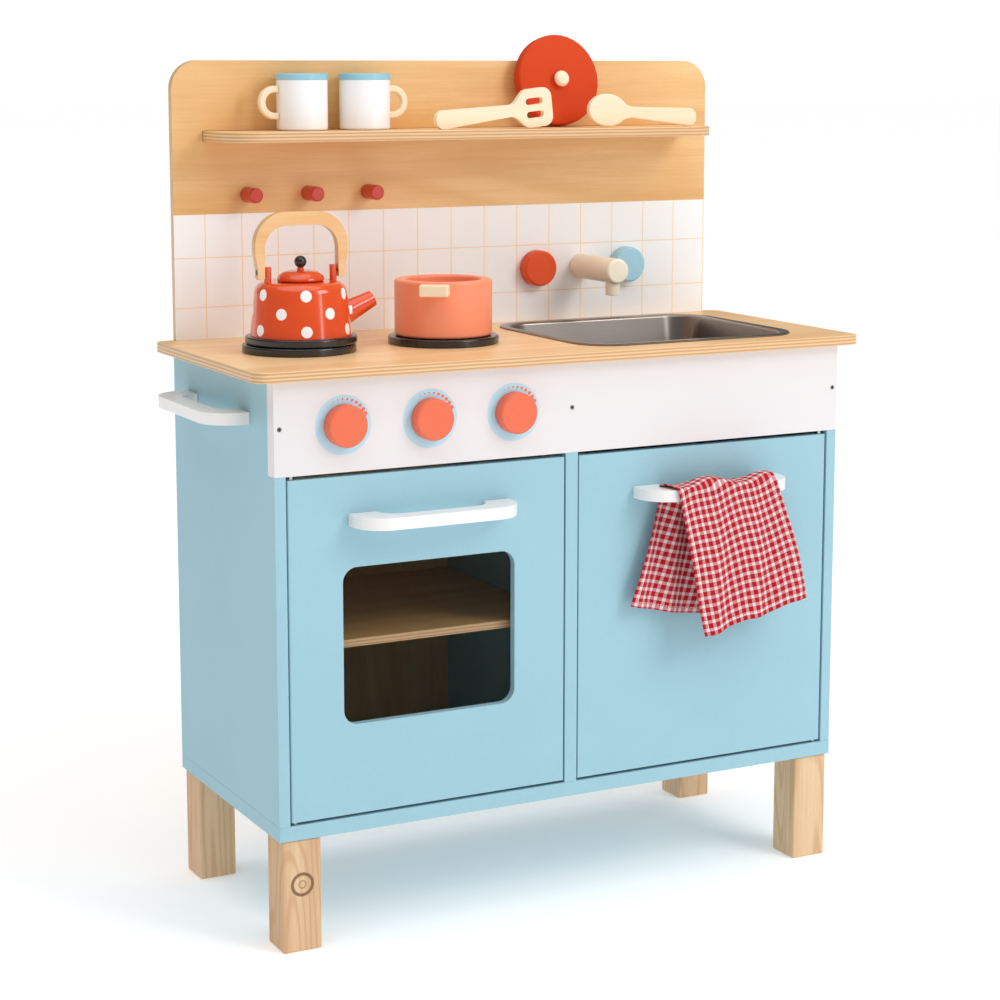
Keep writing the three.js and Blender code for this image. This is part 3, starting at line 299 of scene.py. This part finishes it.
def painted(name, colour, rough=(0.34, 0.46), coat=0.25, grain=None, gleam=0.5):
    """Sprayed paint on a smooth board: faint mottling, orange peel and a little dust in the gloss."""
    paint = Paint(name)
    mottle = paint.noise((7, 7, 7), 3.0, 0.6)
    speck = paint.noise((260, 260, 260), 2.0, 0.55)
    darker = tuple(part * 0.9 for part in colour[:3]) + (1.0,)
    lighter = tuple(min(1.0, part * 1.05) for part in colour[:3]) + (1.0,)
    tone = paint.mix(mottle * 0.7 + speck * 0.3, darker, lighter)
    peel = paint.noise((480, 480, 480), 2.0, 0.5)
    if grain is not None:
        peel = peel * 0.4 + paint.noise(along(grain, 30, 520), 2.0, 0.55) * 0.6
    gloss = (paint.noise((38, 38, 38), 3.0) * 0.6 + speck * 0.4).spread(*rough)
    constants = {"Coat_Weight": coat, "Coat_Roughness": 0.18, "Specular_IOR_Level": gleam}
    return paint.finish(tone, gloss, peel, 0.03 * MM, **constants)


def fascia_print():
    """White paint with a pale blue disc behind each dial and an arc of growing coral dots on it."""
    paint = Paint("fascia_white_paint")
    x, y, z = paint.split(paint.place())
    disc_radius = 25.4 * MM
    arc_radius = 21.9 * MM
    dot_count = 9
    first, last = middle("dial_knob_1"), middle("dial_knob_3")
    pitch = (last.x - first.x) / 2
    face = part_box("fascia_panel")[0].y
    across = ((x - (first.x - pitch / 2)) % pitch) - pitch / 2
    rise = z - first.z
    away = paint.length(across, rise)
    front = y.below(face + 1 * MM, 0.2 * MM)
    in_row = x.below(last.x + pitch / 2, 0.2 * MM) * (1 - x.below(first.x - pitch / 2, 0.2 * MM))
    disc = away.below(disc_radius, 0.25 * MM) * front * in_row
    angle = rise.math("ARCTAN2", across)
    step = math.radians(11.5)
    count = (math.radians(120) - angle) / step
    number = count.math("FLOOR")
    sideways = ((count % 1.0) - 0.5) * (step * arc_radius)
    dot_away = paint.length(sideways, away - arc_radius)
    dot_size = number * (0.19 * MM) + 0.5 * MM
    dots = (dot_away - dot_size).below(0.0, 0.15 * MM)
    in_arc = (count > 0.0) * (count < float(dot_count))
    mottle = paint.noise((9, 9, 9), 3.0)
    white = paint.mix(mottle, hexed(224, 220, 221), hexed(230, 226, 227))
    marks = paint.mix(dots * in_arc, hexed(182, 220, 236), hexed(232, 112, 88))
    colour = paint.mix(disc, white, marks)
    rough = paint.noise((40, 40, 40), 3.0).spread(0.32, 0.42)
    peel = paint.noise((420, 420, 420), 2.0)
    return paint.finish(colour, rough, peel, 0.03 * MM, Coat_Weight=0.3, Coat_Roughness=0.2)


def tiled_backboard():
    """Birch plywood whose lower part is printed with white tiles and fine orange joints."""
    low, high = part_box("backboard")
    paint, wood, rough, height = plywood("backboard_ply", 1, low.y, high.y - low.y, 5, seed=5.0)
    x, y, z = paint.split(paint.place())
    level = z - low.z
    print_top = 113.4 * MM
    row_height = 45 * MM
    column = 35.45 * MM
    first_row = 29.2 * MM
    first_column = 29.5 * MM
    joint = 0.45 * MM
    rows = abs(((level - first_row + row_height / 2) % row_height) - row_height / 2).below(joint, 0.2 * MM)
    columns = abs(((x - low.x - first_column + column / 2) % column) - column / 2).below(joint, 0.2 * MM)
    joints = rows.math("MAXIMUM", columns)
    mottle = paint.noise(along(0, 6, 30), 3.0)
    white = paint.mix(mottle, hexed(250, 250, 250), hexed(254, 254, 254))
    tiles = paint.mix(joints * 0.85, white, hexed(250, 208, 142))
    printed = level.below(print_top, 0.2 * MM) * y.below(low.y + 1 * MM, 0.2 * MM)
    colour = paint.mix(printed, wood, tiles)
    return paint.finish(colour, rough, height, 0.04 * MM, Coat_Weight=0.2, Coat_Roughness=0.3)


def dotted_enamel():
    """Glossy red enamel with three staggered rows of white dots round the kettle."""
    paint = Paint("kettle_enamel")
    x, y, z = paint.split(paint.place())
    centre = middle("kettle_base")
    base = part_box("kettle_base")[0].z
    east, north = x - centre.x, y - centre.y
    radius = paint.length(east, north)
    angle = north.math("ARCTAN2", east)
    sixth = math.radians(60)
    first = math.radians(-106)
    dot_radius = 4.9 * MM
    dot_rows = ((44.0 * MM, 0.0), (28.5 * MM, 0.5), (13.5 * MM, 0.0))  # height, and turn in dot spacings
    dots = None
    for row_height, turn in dot_rows:
        nearest = (((angle - first) / sixth + 0.5 + turn) % 1.0) - 0.5
        away = paint.length(nearest * sixth * radius, z - (base + row_height))
        dot = away.below(dot_radius, 0.25 * MM)
        dots = dot if dots is None else dots.math("MAXIMUM", dot)
    side = (1 - radius.below(30 * MM, 1 * MM)) * radius.below(45.5 * MM, 0.4 * MM)
    mottle = paint.noise((30, 30, 30), 3.0)
    red = paint.mix(mottle, hexed(222, 70, 18), hexed(233, 86, 26))
    colour = paint.mix(dots * side, red, hexed(255, 255, 255))
    rough = paint.noise((60, 60, 60), 3.0).spread(0.16, 0.26)
    peel = paint.noise((300, 300, 300), 2.0)
    return paint.finish(colour, rough, peel, 0.03 * MM, Coat_Weight=0.6, Coat_Roughness=0.1)


def banded_mug():
    """White gloss paint with a pale blue rim."""
    paint = Paint("mug_paint")
    z = paint.split(paint.place())[2]
    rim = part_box("mug_left")[1].z - 6 * MM
    mottle = paint.noise((25, 25, 25), 3.0)
    white = paint.mix(mottle, hexed(248, 249, 252), hexed(252, 253, 255))
    blue = paint.mix(mottle, hexed(140, 196, 216), hexed(154, 206, 224))
    colour = paint.mix(z.below(rim, 0.2 * MM), blue, white)
    rough = paint.noise((70, 70, 70), 3.0).spread(0.26, 0.36)
    peel = paint.noise((380, 380, 380), 2.0)
    return paint.finish(colour, rough, peel, 0.03 * MM, Coat_Weight=0.35, Coat_Roughness=0.15)


# ---------- Metal, acrylic and cloth ----------

def brushed_steel():
    paint = Paint("brushed_steel")
    brush = paint.noise(along(0, 14, 1400), 2.0, 0.6)
    smear = paint.noise((12, 12, 12), 3.0)
    colour = paint.mix(brush * 0.4 + smear * 0.6, hexed(152, 142, 135), hexed(174, 165, 158))
    rough = (brush * 0.3 + smear * 0.7).spread(0.26, 0.38)
    return paint.finish(colour, rough, brush, 0.004 * MM, Metallic=1.0)


def screw_steel(nodes):
    """Zinc screw heads whose crossed recesses get a painted shade, near black, and a dip in the bump."""
    paint = Paint("screw_zinc")
    x, _, z = paint.split(paint.place())
    cross_painted_shade = None
    for node in nodes:
        centre = middle(node)
        across, rise = abs(x - centre.x), abs(z - centre.z)
        tall = across.below(0.4 * MM, 0.1 * MM) * rise.below(1.5 * MM, 0.15 * MM)
        wide = across.below(1.5 * MM, 0.15 * MM) * rise.below(0.4 * MM, 0.1 * MM)
        cross = tall.math("MAXIMUM", wide)
        cross_painted_shade = cross if cross_painted_shade is None else cross_painted_shade.math("MAXIMUM", cross)
    grime = paint.noise((600, 600, 600), 2.0)
    metal = paint.mix(grime, hexed(120, 116, 114), hexed(176, 172, 168))
    # painted shade: the cross in each screw head is coloured near black, as the shade of its recess
    colour = paint.mix(cross_painted_shade, metal, hexed(24, 22, 22))
    return paint.finish(colour, grime.spread(0.3, 0.5), 1 - cross_painted_shade, 0.3 * MM, Metallic=1.0)


def black_gloss():
    paint = Paint("black_gloss_paint")
    mottle = paint.noise((18, 18, 18), 3.0)
    dust = paint.noise((420, 420, 420), 2.0)
    colour = paint.mix(mottle, hexed(20, 18, 20), hexed(40, 36, 38))
    rough = (mottle * 0.5 + dust * 0.5).spread(0.2, 0.36)
    return paint.finish(colour, rough, dust, 0.03 * MM, Coat_Weight=0.4, Coat_Roughness=0.15)


def smoked_acrylic():
    """Clear acrylic with a faint grey tint and wiping marks in its gloss."""
    paint = Paint("smoked_acrylic")
    smear = paint.noise((9, 9, 9), 4.0)
    colour = paint.mix(smear, hexed(14, 16, 20), hexed(22, 24, 28))
    return paint.finish(colour, smear.spread(0.04, 0.1), Alpha=0.14, Specular_IOR_Level=0.1)


def gingham():
    """Red and white checks of woven cotton: red over red, pale where the two cross, and a sewn hem."""
    paint = Paint("gingham_cotton")
    flat = paint.node("ShaderNodeAttribute", {"attribute_name": "weave"}, output="Vector")
    u, v, _ = paint.split(flat)
    period, thread = CHECK_PERIOD, 0.42 * MM
    red_u = (u % period).below(period * 0.6, 0.12 * MM)
    red_v = (v % period).below(period * 0.6, 0.12 * MM)
    slub = paint.noise((900, 900, 900), 2.0, 0.6, vector=flat)
    warp_over = ((u / thread).math("FLOOR") + (v / thread).math("FLOOR")) % 2.0
    dyed = red_u * warp_over + red_v * (1 - warp_over)
    soft = (red_u + red_v) * 0.7 - red_u * red_v * 0.4
    amount = dyed * 0.35 + soft * 0.65
    colour = paint.mix(amount, hexed(238, 220, 222), hexed(180, 0, 18))
    colour = paint.mix(slub * 0.12, colour, hexed(214, 84, 98))
    inset_u = TOWEL_WIDTH / 2 - abs(u - 1)
    inset_v = TOWEL_LENGTH / 2 - abs(v - 1)
    inset = inset_u.math("MINIMUM", inset_v)
    seam = abs(inset - HEM).below(0.35 * MM, 0.15 * MM)
    run = paint.mix(inset_u.below(HEM + 1 * MM, 0.1 * MM), u, v)
    stitch = abs(((run / (2.4 * MM)) % 1.0) - 0.5).below(0.34, 0.05) * seam
    colour = paint.mix(stitch * 0.7, colour, hexed(250, 240, 240))
    ribs_u = abs(((u / thread) % 1.0) - 0.5) * 2
    ribs_v = abs(((v / thread) % 1.0) - 0.5) * 2
    height = (1 - ribs_u) * warp_over + (1 - ribs_v) * (1 - warp_over)
    height = height + slub * 0.4 + inset.below(HEM, 0.3 * MM) * 1.5 - seam * 1.2
    rough = slub.spread(0.8, 0.95)
    return paint.finish(colour, rough, height, 0.16 * MM, 0.6, Sheen_Weight=0.04, Specular_IOR_Level=0.15)


# ---------- Carried pieces ----------

def dress(names, material):
    """Gives these frame pieces a finish."""
    for name in names:
        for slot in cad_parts[name].material_slots:
            slot.material = material


def soften(name, width, segments=3, angle=28):
    """Rounds a frame piece's edges by a modifier and shades it smoothly."""
    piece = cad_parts[name]
    mesh = piece.data
    for attribute in ("custom_normal", "sharp_edge", "sharp_face"):
        if attribute in mesh.attributes:
            mesh.attributes.remove(mesh.attributes[attribute])
    mesh.shade_smooth()
    weld = piece.modifiers.new("weld", "WELD")
    weld.merge_threshold = 0.002 * MM
    flatten = piece.modifiers.new("flat_faces", "DECIMATE")
    flatten.decimate_type = "DISSOLVE"
    flatten.angle_limit = math.radians(0.4)
    if width > 0:
        bevel = piece.modifiers.new("soft_edges", "BEVEL")
        bevel.width = width
        bevel.segments = segments
        bevel.limit_method = "ANGLE"
        bevel.angle_limit = math.radians(angle)
        bevel.use_clamp_overlap = True
        bevel.miter_outer = "MITER_ARC"
    shading = piece.modifiers.new("even_shading", "WEIGHTED_NORMAL")
    shading.keep_sharp = False


SIDES = ("left", "right")
LEGS = [f"leg_{row}_{side}" for row in ("front", "back") for side in SIDES]
PINS = [f"{door}_hinge_pin_{end}" for door in ("oven", "cupboard") for end in ("lower", "upper")]
SCREWS = ["fascia_screw_left", "fascia_screw_middle", "fascia_screw_right"]
DIALS = [f"dial_knob_{number}" for number in (1, 2, 3)]
PEGS = ["peg_left", "peg_middle", "peg_right"]
HANDLES = ["oven_door_handle", "cupboard_door_handle", "side_handle"]


def finish_cabinet():
    blue = painted("pale_blue_paint", hexed(158, 199, 213), (0.42, 0.52), 0.06, gleam=0.28)
    boards = ["left_side_panel", "right_side_panel", "centre_divider", "bottom_board"]
    dress([*boards, "oven_door", "cupboard_door"], blue)
    white = painted("white_paint", hexed(243, 241, 240), (0.28, 0.38), 0.35)
    dress([*HANDLES, "oven_door_catch", "cupboard_door_catch"], white)
    dress(["fascia_panel"], fascia_print())
    dress(["back_panel"], plain_ply("back_panel_ply", 1, "back_panel", 3, grain=2, seed=9.0))
    dress(["oven_shelf"], plain_ply("oven_shelf_ply", 2, "oven_shelf", 5, seed=13.0))
    dress(LEGS, leg_wood())
    dress(["oven_window_pane"], smoked_acrylic())
    dress(PINS, brushed_steel_of_pins())
    dress(SCREWS, screw_steel(SCREWS))
    for name in boards:
        soften(name, 0.5 * MM, 2)
    for name in ("oven_door", "cupboard_door"):
        soften(name, 0.7 * MM, 3)
    for name in HANDLES:
        soften(name, 3.2 * MM, 5)
    for name in LEGS:
        soften(name, 1.6 * MM, 4)
    for name in ("fascia_panel", "back_panel", "oven_shelf"):
        soften(name, 0.4 * MM, 2)
    for name in ("oven_door_catch", "cupboard_door_catch"):
        soften(name, 0.8 * MM, 2)
    for name in [*PINS, *SCREWS]:
        soften(name, 0.25 * MM, 2)
    soften("oven_window_pane", 0)


def brushed_steel_of_pins():
    paint = Paint("pin_steel")
    brush = paint.noise(along(2, 900, 60), 2.0)
    colour = paint.mix(brush, hexed(170, 168, 166), hexed(214, 212, 210))
    return paint.finish(colour, brush.spread(0.2, 0.36), brush, 0.02 * MM, Metallic=1.0)


def finish_worktop():
    pale = {"light": hexed(253, 216, 166), "dark": hexed(236, 186, 126)}
    dress(["worktop"], plain_ply("worktop_ply", 2, "worktop", 6, seed=1.0, **pale))
    dress(["upper_shelf"], plain_ply("upper_shelf_ply", 2, "upper_shelf", 6, seed=21.0, **pale))
    dress(["backboard"], tiled_backboard())
    dress(["sink_basin"], brushed_steel())
    dress(["hotplate_left", "hotplate_middle"], black_gloss())
    for name in ("worktop", "upper_shelf", "backboard"):
        soften(name, 0.8 * MM, 3)
    soften("sink_basin", 0, angle=40)
    for name in ("hotplate_left", "hotplate_middle"):
        soften(name, 0.8 * MM, 3)


def finish_turned_pieces():
    dress(DIALS, painted("coral_dial_paint", hexed(236, 112, 78), (0.4, 0.5), 0.08, gleam=0.35))
    red = painted("red_knob_paint", hexed(236, 84, 30), (0.4, 0.5), 0.08, gleam=0.3)
    dress(["tap_knob_hot"], red)
    dress(["tap_knob_cold"], painted("blue_knob_paint", hexed(172, 220, 240), (0.36, 0.48), 0.15))
    dress(PEGS, painted("red_peg_paint", hexed(202, 62, 38), (0.3, 0.42), 0.25, gleam=0.35))
    # painted light: the spout's beech is paler than the other beech pieces, standing in for the light that
    # falls on it
    beech_light, beech_dark = hexed(255, 246, 226), hexed(250, 234, 206)
    dress(["tap_spout"], solid_wood("spout_beech_painted_lit", beech_light, beech_dark, 1, 31.0))
    for name in [*DIALS, "tap_knob_hot", "tap_knob_cold"]:
        soften(name, 0.7 * MM, 3)
    for name in PEGS:
        soften(name, 0.8 * MM, 3)
    soften("tap_spout", 0.8 * MM, 3)


def finish_kettle():
    dress(["kettle_body"], dotted_enamel())
    dress(["kettle_lid"], painted("kettle_lid_enamel", hexed(227, 78, 24), (0.16, 0.26), 0.6))
    dress(["kettle_base", "kettle_lid_knob"], black_gloss())
    black = painted("black_screw", hexed(30, 28, 28), (0.3, 0.4), 0.2)
    dress(["kettle_screw_left", "kettle_screw_right"], black)
    warm = {"light": hexed(246, 206, 150), "dark": hexed(226, 172, 112)}
    dress(["kettle_handle"], plain_ply("kettle_handle_ply", 1, "kettle_handle", 5, seed=41.0, **warm))
    for name in ("kettle_body", "kettle_lid"):
        soften(name, 0.6 * MM, 3, 35)
    soften("kettle_base", 1.4 * MM, 4)
    soften("kettle_lid_knob", 0)
    soften("kettle_handle", 1.6 * MM, 4)
    for name in ("kettle_screw_left", "kettle_screw_right"):
        soften(name, 0.3 * MM, 2)


def finish_pots_and_mugs():
    coral = painted("coral_pot_paint", hexed(255, 150, 112), (0.34, 0.46), 0.2, grain=2, gleam=0.4)
    dress(["pot_body"], coral)
    dress(["pot_lid"], painted("pot_lid_paint", hexed(214, 68, 20), (0.56, 0.66), 0.03, gleam=0.15))
    dress(["mug_left", "mug_right"], banded_mug())
    beech_light, beech_dark = hexed(250, 233, 204), hexed(240, 214, 176)
    beech = solid_wood("beech", beech_light, beech_dark, 0, 51.0)
    dress(["pot_handle_front", "pot_handle_back", "pot_lid_knob"], beech)
    dress(["mug_left_handle", "mug_right_handle", "spatula", "spoon"], beech)
    soften("pot_body", 1.0 * MM, 3, 20)
    soften("pot_lid", 0.8 * MM, 3, 20)
    for name in ("pot_handle_front", "pot_handle_back"):
        soften(name, 1.7 * MM, 4)
    soften("pot_lid_knob", 0.9 * MM, 3)
    for name in ("mug_left", "mug_right"):
        soften(name, 0.4 * MM, 3)
    for name in ("mug_left_handle", "mug_right_handle"):
        soften(name, 1.6 * MM, 4)
    for name in ("spatula", "spoon"):
        soften(name, 1.5 * MM, 4)


# ---------- Towel ----------

def towel_humps(x, bar_low):
    """How far the cloth stands off the bar's top: two soft humps along it."""
    first_hump, spacing = 62 * MM, 61 * MM
    return (3.2 + 3.0 * math.cos(2 * math.pi * (x - bar_low.x - first_hump) / spacing)) * MM


def front_flap(x, across, fall, front, top):
    """The front flap: it flares a little as it falls, with shallow upright ripples."""
    flare = min(1.0, fall / (90 * MM))
    ripple = math.sin(across * 150 + 0.9) + 0.5 * math.sin(across * 290 + 2.0)
    y = front - (1.2 + 2.4 * flare) * MM + ripple * (0.4 + 1.0 * flare) * MM
    sway = flare * 2 * MM * math.sin(fall * 40)
    wave = 1.2 * MM * math.sin(across * 120)
    return Vector((x + sway, y, top - fall + wave))


def back_flap(across, fall, middle_x, gather_x, rear, top):
    """The back flap: gathered into pleats under the bar, easing out again as it falls."""
    pleats = 190  # radians of a pleat's wave per metre
    ease = min(1.0, fall / (8 * MM))
    squeeze = 1 + (0.86 + 0.12 * min(1.0, fall / (100 * MM)) - 1) * ease
    centre = gather_x - middle_x
    x = middle_x + centre + (across - centre) * squeeze - 0.05 * fall
    deep = max(0.36, math.sqrt(1 / squeeze ** 2 - 1)) / pleats
    y = rear + 5.0 * MM + ease * deep * 1.35 * math.sin(across * pleats + 0.4)
    return Vector((x, min(y, rear + 14 * MM), top - fall))


def towel_point(u, v, bar_low, bar_high):
    """A point of the flat cloth laid over the bar, turned a little and gathered behind it."""
    clear = 1.5 * MM
    bar_depth = 17.5 * MM
    across = u * math.cos(TOWEL_TILT) + v * math.sin(TOWEL_TILT)
    down = v * math.cos(TOWEL_TILT) - u * math.sin(TOWEL_TILT)
    top = bar_high.z + clear
    front = bar_low.y - clear
    rear = bar_low.y + bar_depth + clear
    half = (rear - front) / 2
    middle_x = bar_low.x + TOWEL_MIDDLE
    gather_x = bar_low.x + TOWEL_GATHER
    if down < -half:
        shorter = 1 - 0.08 * max(0.0, u) / (TOWEL_WIDTH / 2)
        return back_flap(across, (-down - half) * shorter, middle_x, gather_x, rear, top)
    slack = 0.1 * max(0.0, 1 - max(0.0, down - half) / (100 * MM))
    x = middle_x + across - slack * (across + TOWEL_WIDTH / 2)
    if down > half:
        return front_flap(x, across, down - half, front, top)
    crown = math.sqrt(max(0.0, 1 - (down / half) ** 4))
    return Vector((x, (front + rear) / 2 - down, top + towel_humps(x, bar_low) * crown))


def make_towel():
    """The gingham cloth: a flat sheet laid over the handle's bar, hemmed and given its thickness."""
    bar_low, bar_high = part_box("cupboard_door_handle")
    columns, rows = 76, 180
    vertices, flat = [], []
    for row in range(rows + 1):
        for column in range(columns + 1):
            u = (column / columns - 0.5) * TOWEL_WIDTH
            v = (row / rows - 0.5) * TOWEL_LENGTH
            vertices.append(towel_point(u, v - TOWEL_BACK_EXTRA, bar_low, bar_high))
            flat.append((u + 1, v + 1, 0.0))
    faces = []
    for row in range(rows):
        for column in range(columns):
            corner = row * (columns + 1) + column
            faces.append((corner, corner + 1, corner + columns + 2, corner + columns + 1))
    mesh = bpy.data.meshes.new("gingham_towel")
    mesh.from_pydata(vertices, [], faces)
    weave = mesh.attributes.new("weave", "FLOAT_VECTOR", "POINT")
    for index, value in enumerate(flat):
        weave.data[index].vector = value
    mesh.shade_smooth()
    towel = bpy.data.objects.new("gingham_towel", mesh)
    bpy.context.collection.objects.link(towel)
    towel.data.materials.append(gingham())
    smooth = towel.modifiers.new("relax", "SMOOTH")
    smooth.factor = 0.5
    smooth.iterations = 4
    thickness = towel.modifiers.new("thickness", "SOLIDIFY")
    thickness.thickness = 0.9 * MM
    thickness.offset = 0
    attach(towel, "cupboard_door_leaf")
    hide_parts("towel")


# ---------- Floor, light and camera ----------

def make_floor():
    """A large pale floor, faintly mottled, that gives off a little light of its own."""
    half = 40.0
    mesh = bpy.data.meshes.new("floor")
    corners = [(-half, -half, 0), (half, -half, 0), (half, half, 0), (-half, half, 0)]
    mesh.from_pydata(corners, [], [(0, 1, 2, 3)])
    floor = bpy.data.objects.new("floor", mesh)
    bpy.context.collection.objects.link(floor)
    paint = Paint("floor_paint")
    cloud = paint.noise((3, 3, 3), 2.0)
    colour = paint.mix(cloud, (0.94, 0.94, 0.94, 1), (0.96, 0.96, 0.96, 1))
    white = {"Emission_Color": (1.0, 1.0, 1.0, 1), "Emission_Strength": 0.18}
    floor.data.materials.append(paint.finish(colour, cloud.spread(0.8, 0.9), **white))


def make_light():
    """A white room with a broad soft sun overhead, and two soft boxes at the front right.

    Glossy surfaces mirror a darker room, and behind everything the camera sees plain white.
    """
    world = bpy.data.worlds.new("studio")
    bpy.context.scene.world = world
    world.use_nodes = True
    nodes, links = world.node_tree.nodes, world.node_tree.links
    ambient = nodes["Background"]
    ambient.inputs["Color"].default_value = (1.0, 1.0, 1.0, 1)
    ambient.inputs["Strength"].default_value = 0.44
    seen = nodes.new("ShaderNodeBackground")
    seen.inputs["Color"].default_value = (1, 1, 1, 1)
    seen.inputs["Strength"].default_value = 1.05
    mirrored = nodes.new("ShaderNodeBackground")
    mirrored.inputs["Strength"].default_value = 0.26
    path = nodes.new("ShaderNodeLightPath")
    in_gloss = nodes.new("ShaderNodeMixShader")
    links.new(path.outputs["Is Glossy Ray"], in_gloss.inputs[0])
    links.new(ambient.outputs[0], in_gloss.inputs[1])
    links.new(mirrored.outputs[0], in_gloss.inputs[2])
    choose = nodes.new("ShaderNodeMixShader")
    links.new(path.outputs["Is Camera Ray"], choose.inputs[0])
    links.new(in_gloss.outputs[0], choose.inputs[1])
    links.new(seen.outputs[0], choose.inputs[2])
    links.new(choose.outputs[0], nodes["World Output"].inputs["Surface"])
    sky = bpy.data.lights.new("top", "SUN")
    sky.energy = 1.5
    sky.angle = math.radians(70)
    aim(bpy.data.objects.new("top", sky), Vector((-0.1, -0.12, 1.0)))
    soft_box("key", (1.5, -2.1, 2.2), 1.2, 1.2, 27)
    soft_box("front_box", (0.8, -2.0, 1.15), 0.22, 1.5, 5)


def aim(holder, towards):
    """Turns a lamp so that it shines from a direction, and adds it to the scene."""
    holder.rotation_mode = "QUATERNION"
    holder.rotation_quaternion = towards.to_track_quat("Z", "Y")
    bpy.context.collection.objects.link(holder)


def soft_box(name, place, width, height, power):
    """A rectangular studio lamp aimed at the middle of the kitchen."""
    lamp = bpy.data.lights.new(name, "AREA")
    lamp.shape = "RECTANGLE"
    lamp.size = width
    lamp.size_y = height
    lamp.energy = power
    holder = bpy.data.objects.new(name, lamp)
    holder.location = place
    aim(holder, Vector(place) - Vector((0, 0, 0.45)))


def make_camera():
    """A long lens 0.75 m above the floor, to the left of the kitchen and turned towards it."""
    place = Vector((-0.9635, -1.8385, 0.7455))
    heading, tilt = 27.39, -8.595
    focal_share = 2.2975
    camera = bpy.data.cameras.new("camera")
    camera.sensor_width = 36.0
    camera.lens = focal_share * camera.sensor_width
    camera.shift_y = -0.085
    camera.clip_end = 200
    holder = bpy.data.objects.new("camera", camera)
    holder.location = place
    holder.rotation_euler = (math.radians(90 + tilt), 0, math.radians(-heading))
    bpy.context.collection.objects.link(holder)
    bpy.context.scene.camera = holder


finish_cabinet()
finish_worktop()
finish_turned_pieces()
finish_kettle()
finish_pots_and_mugs()
make_towel()
make_floor()
make_light()
make_camera()
bpy.context.scene.view_settings.view_transform = "Standard"
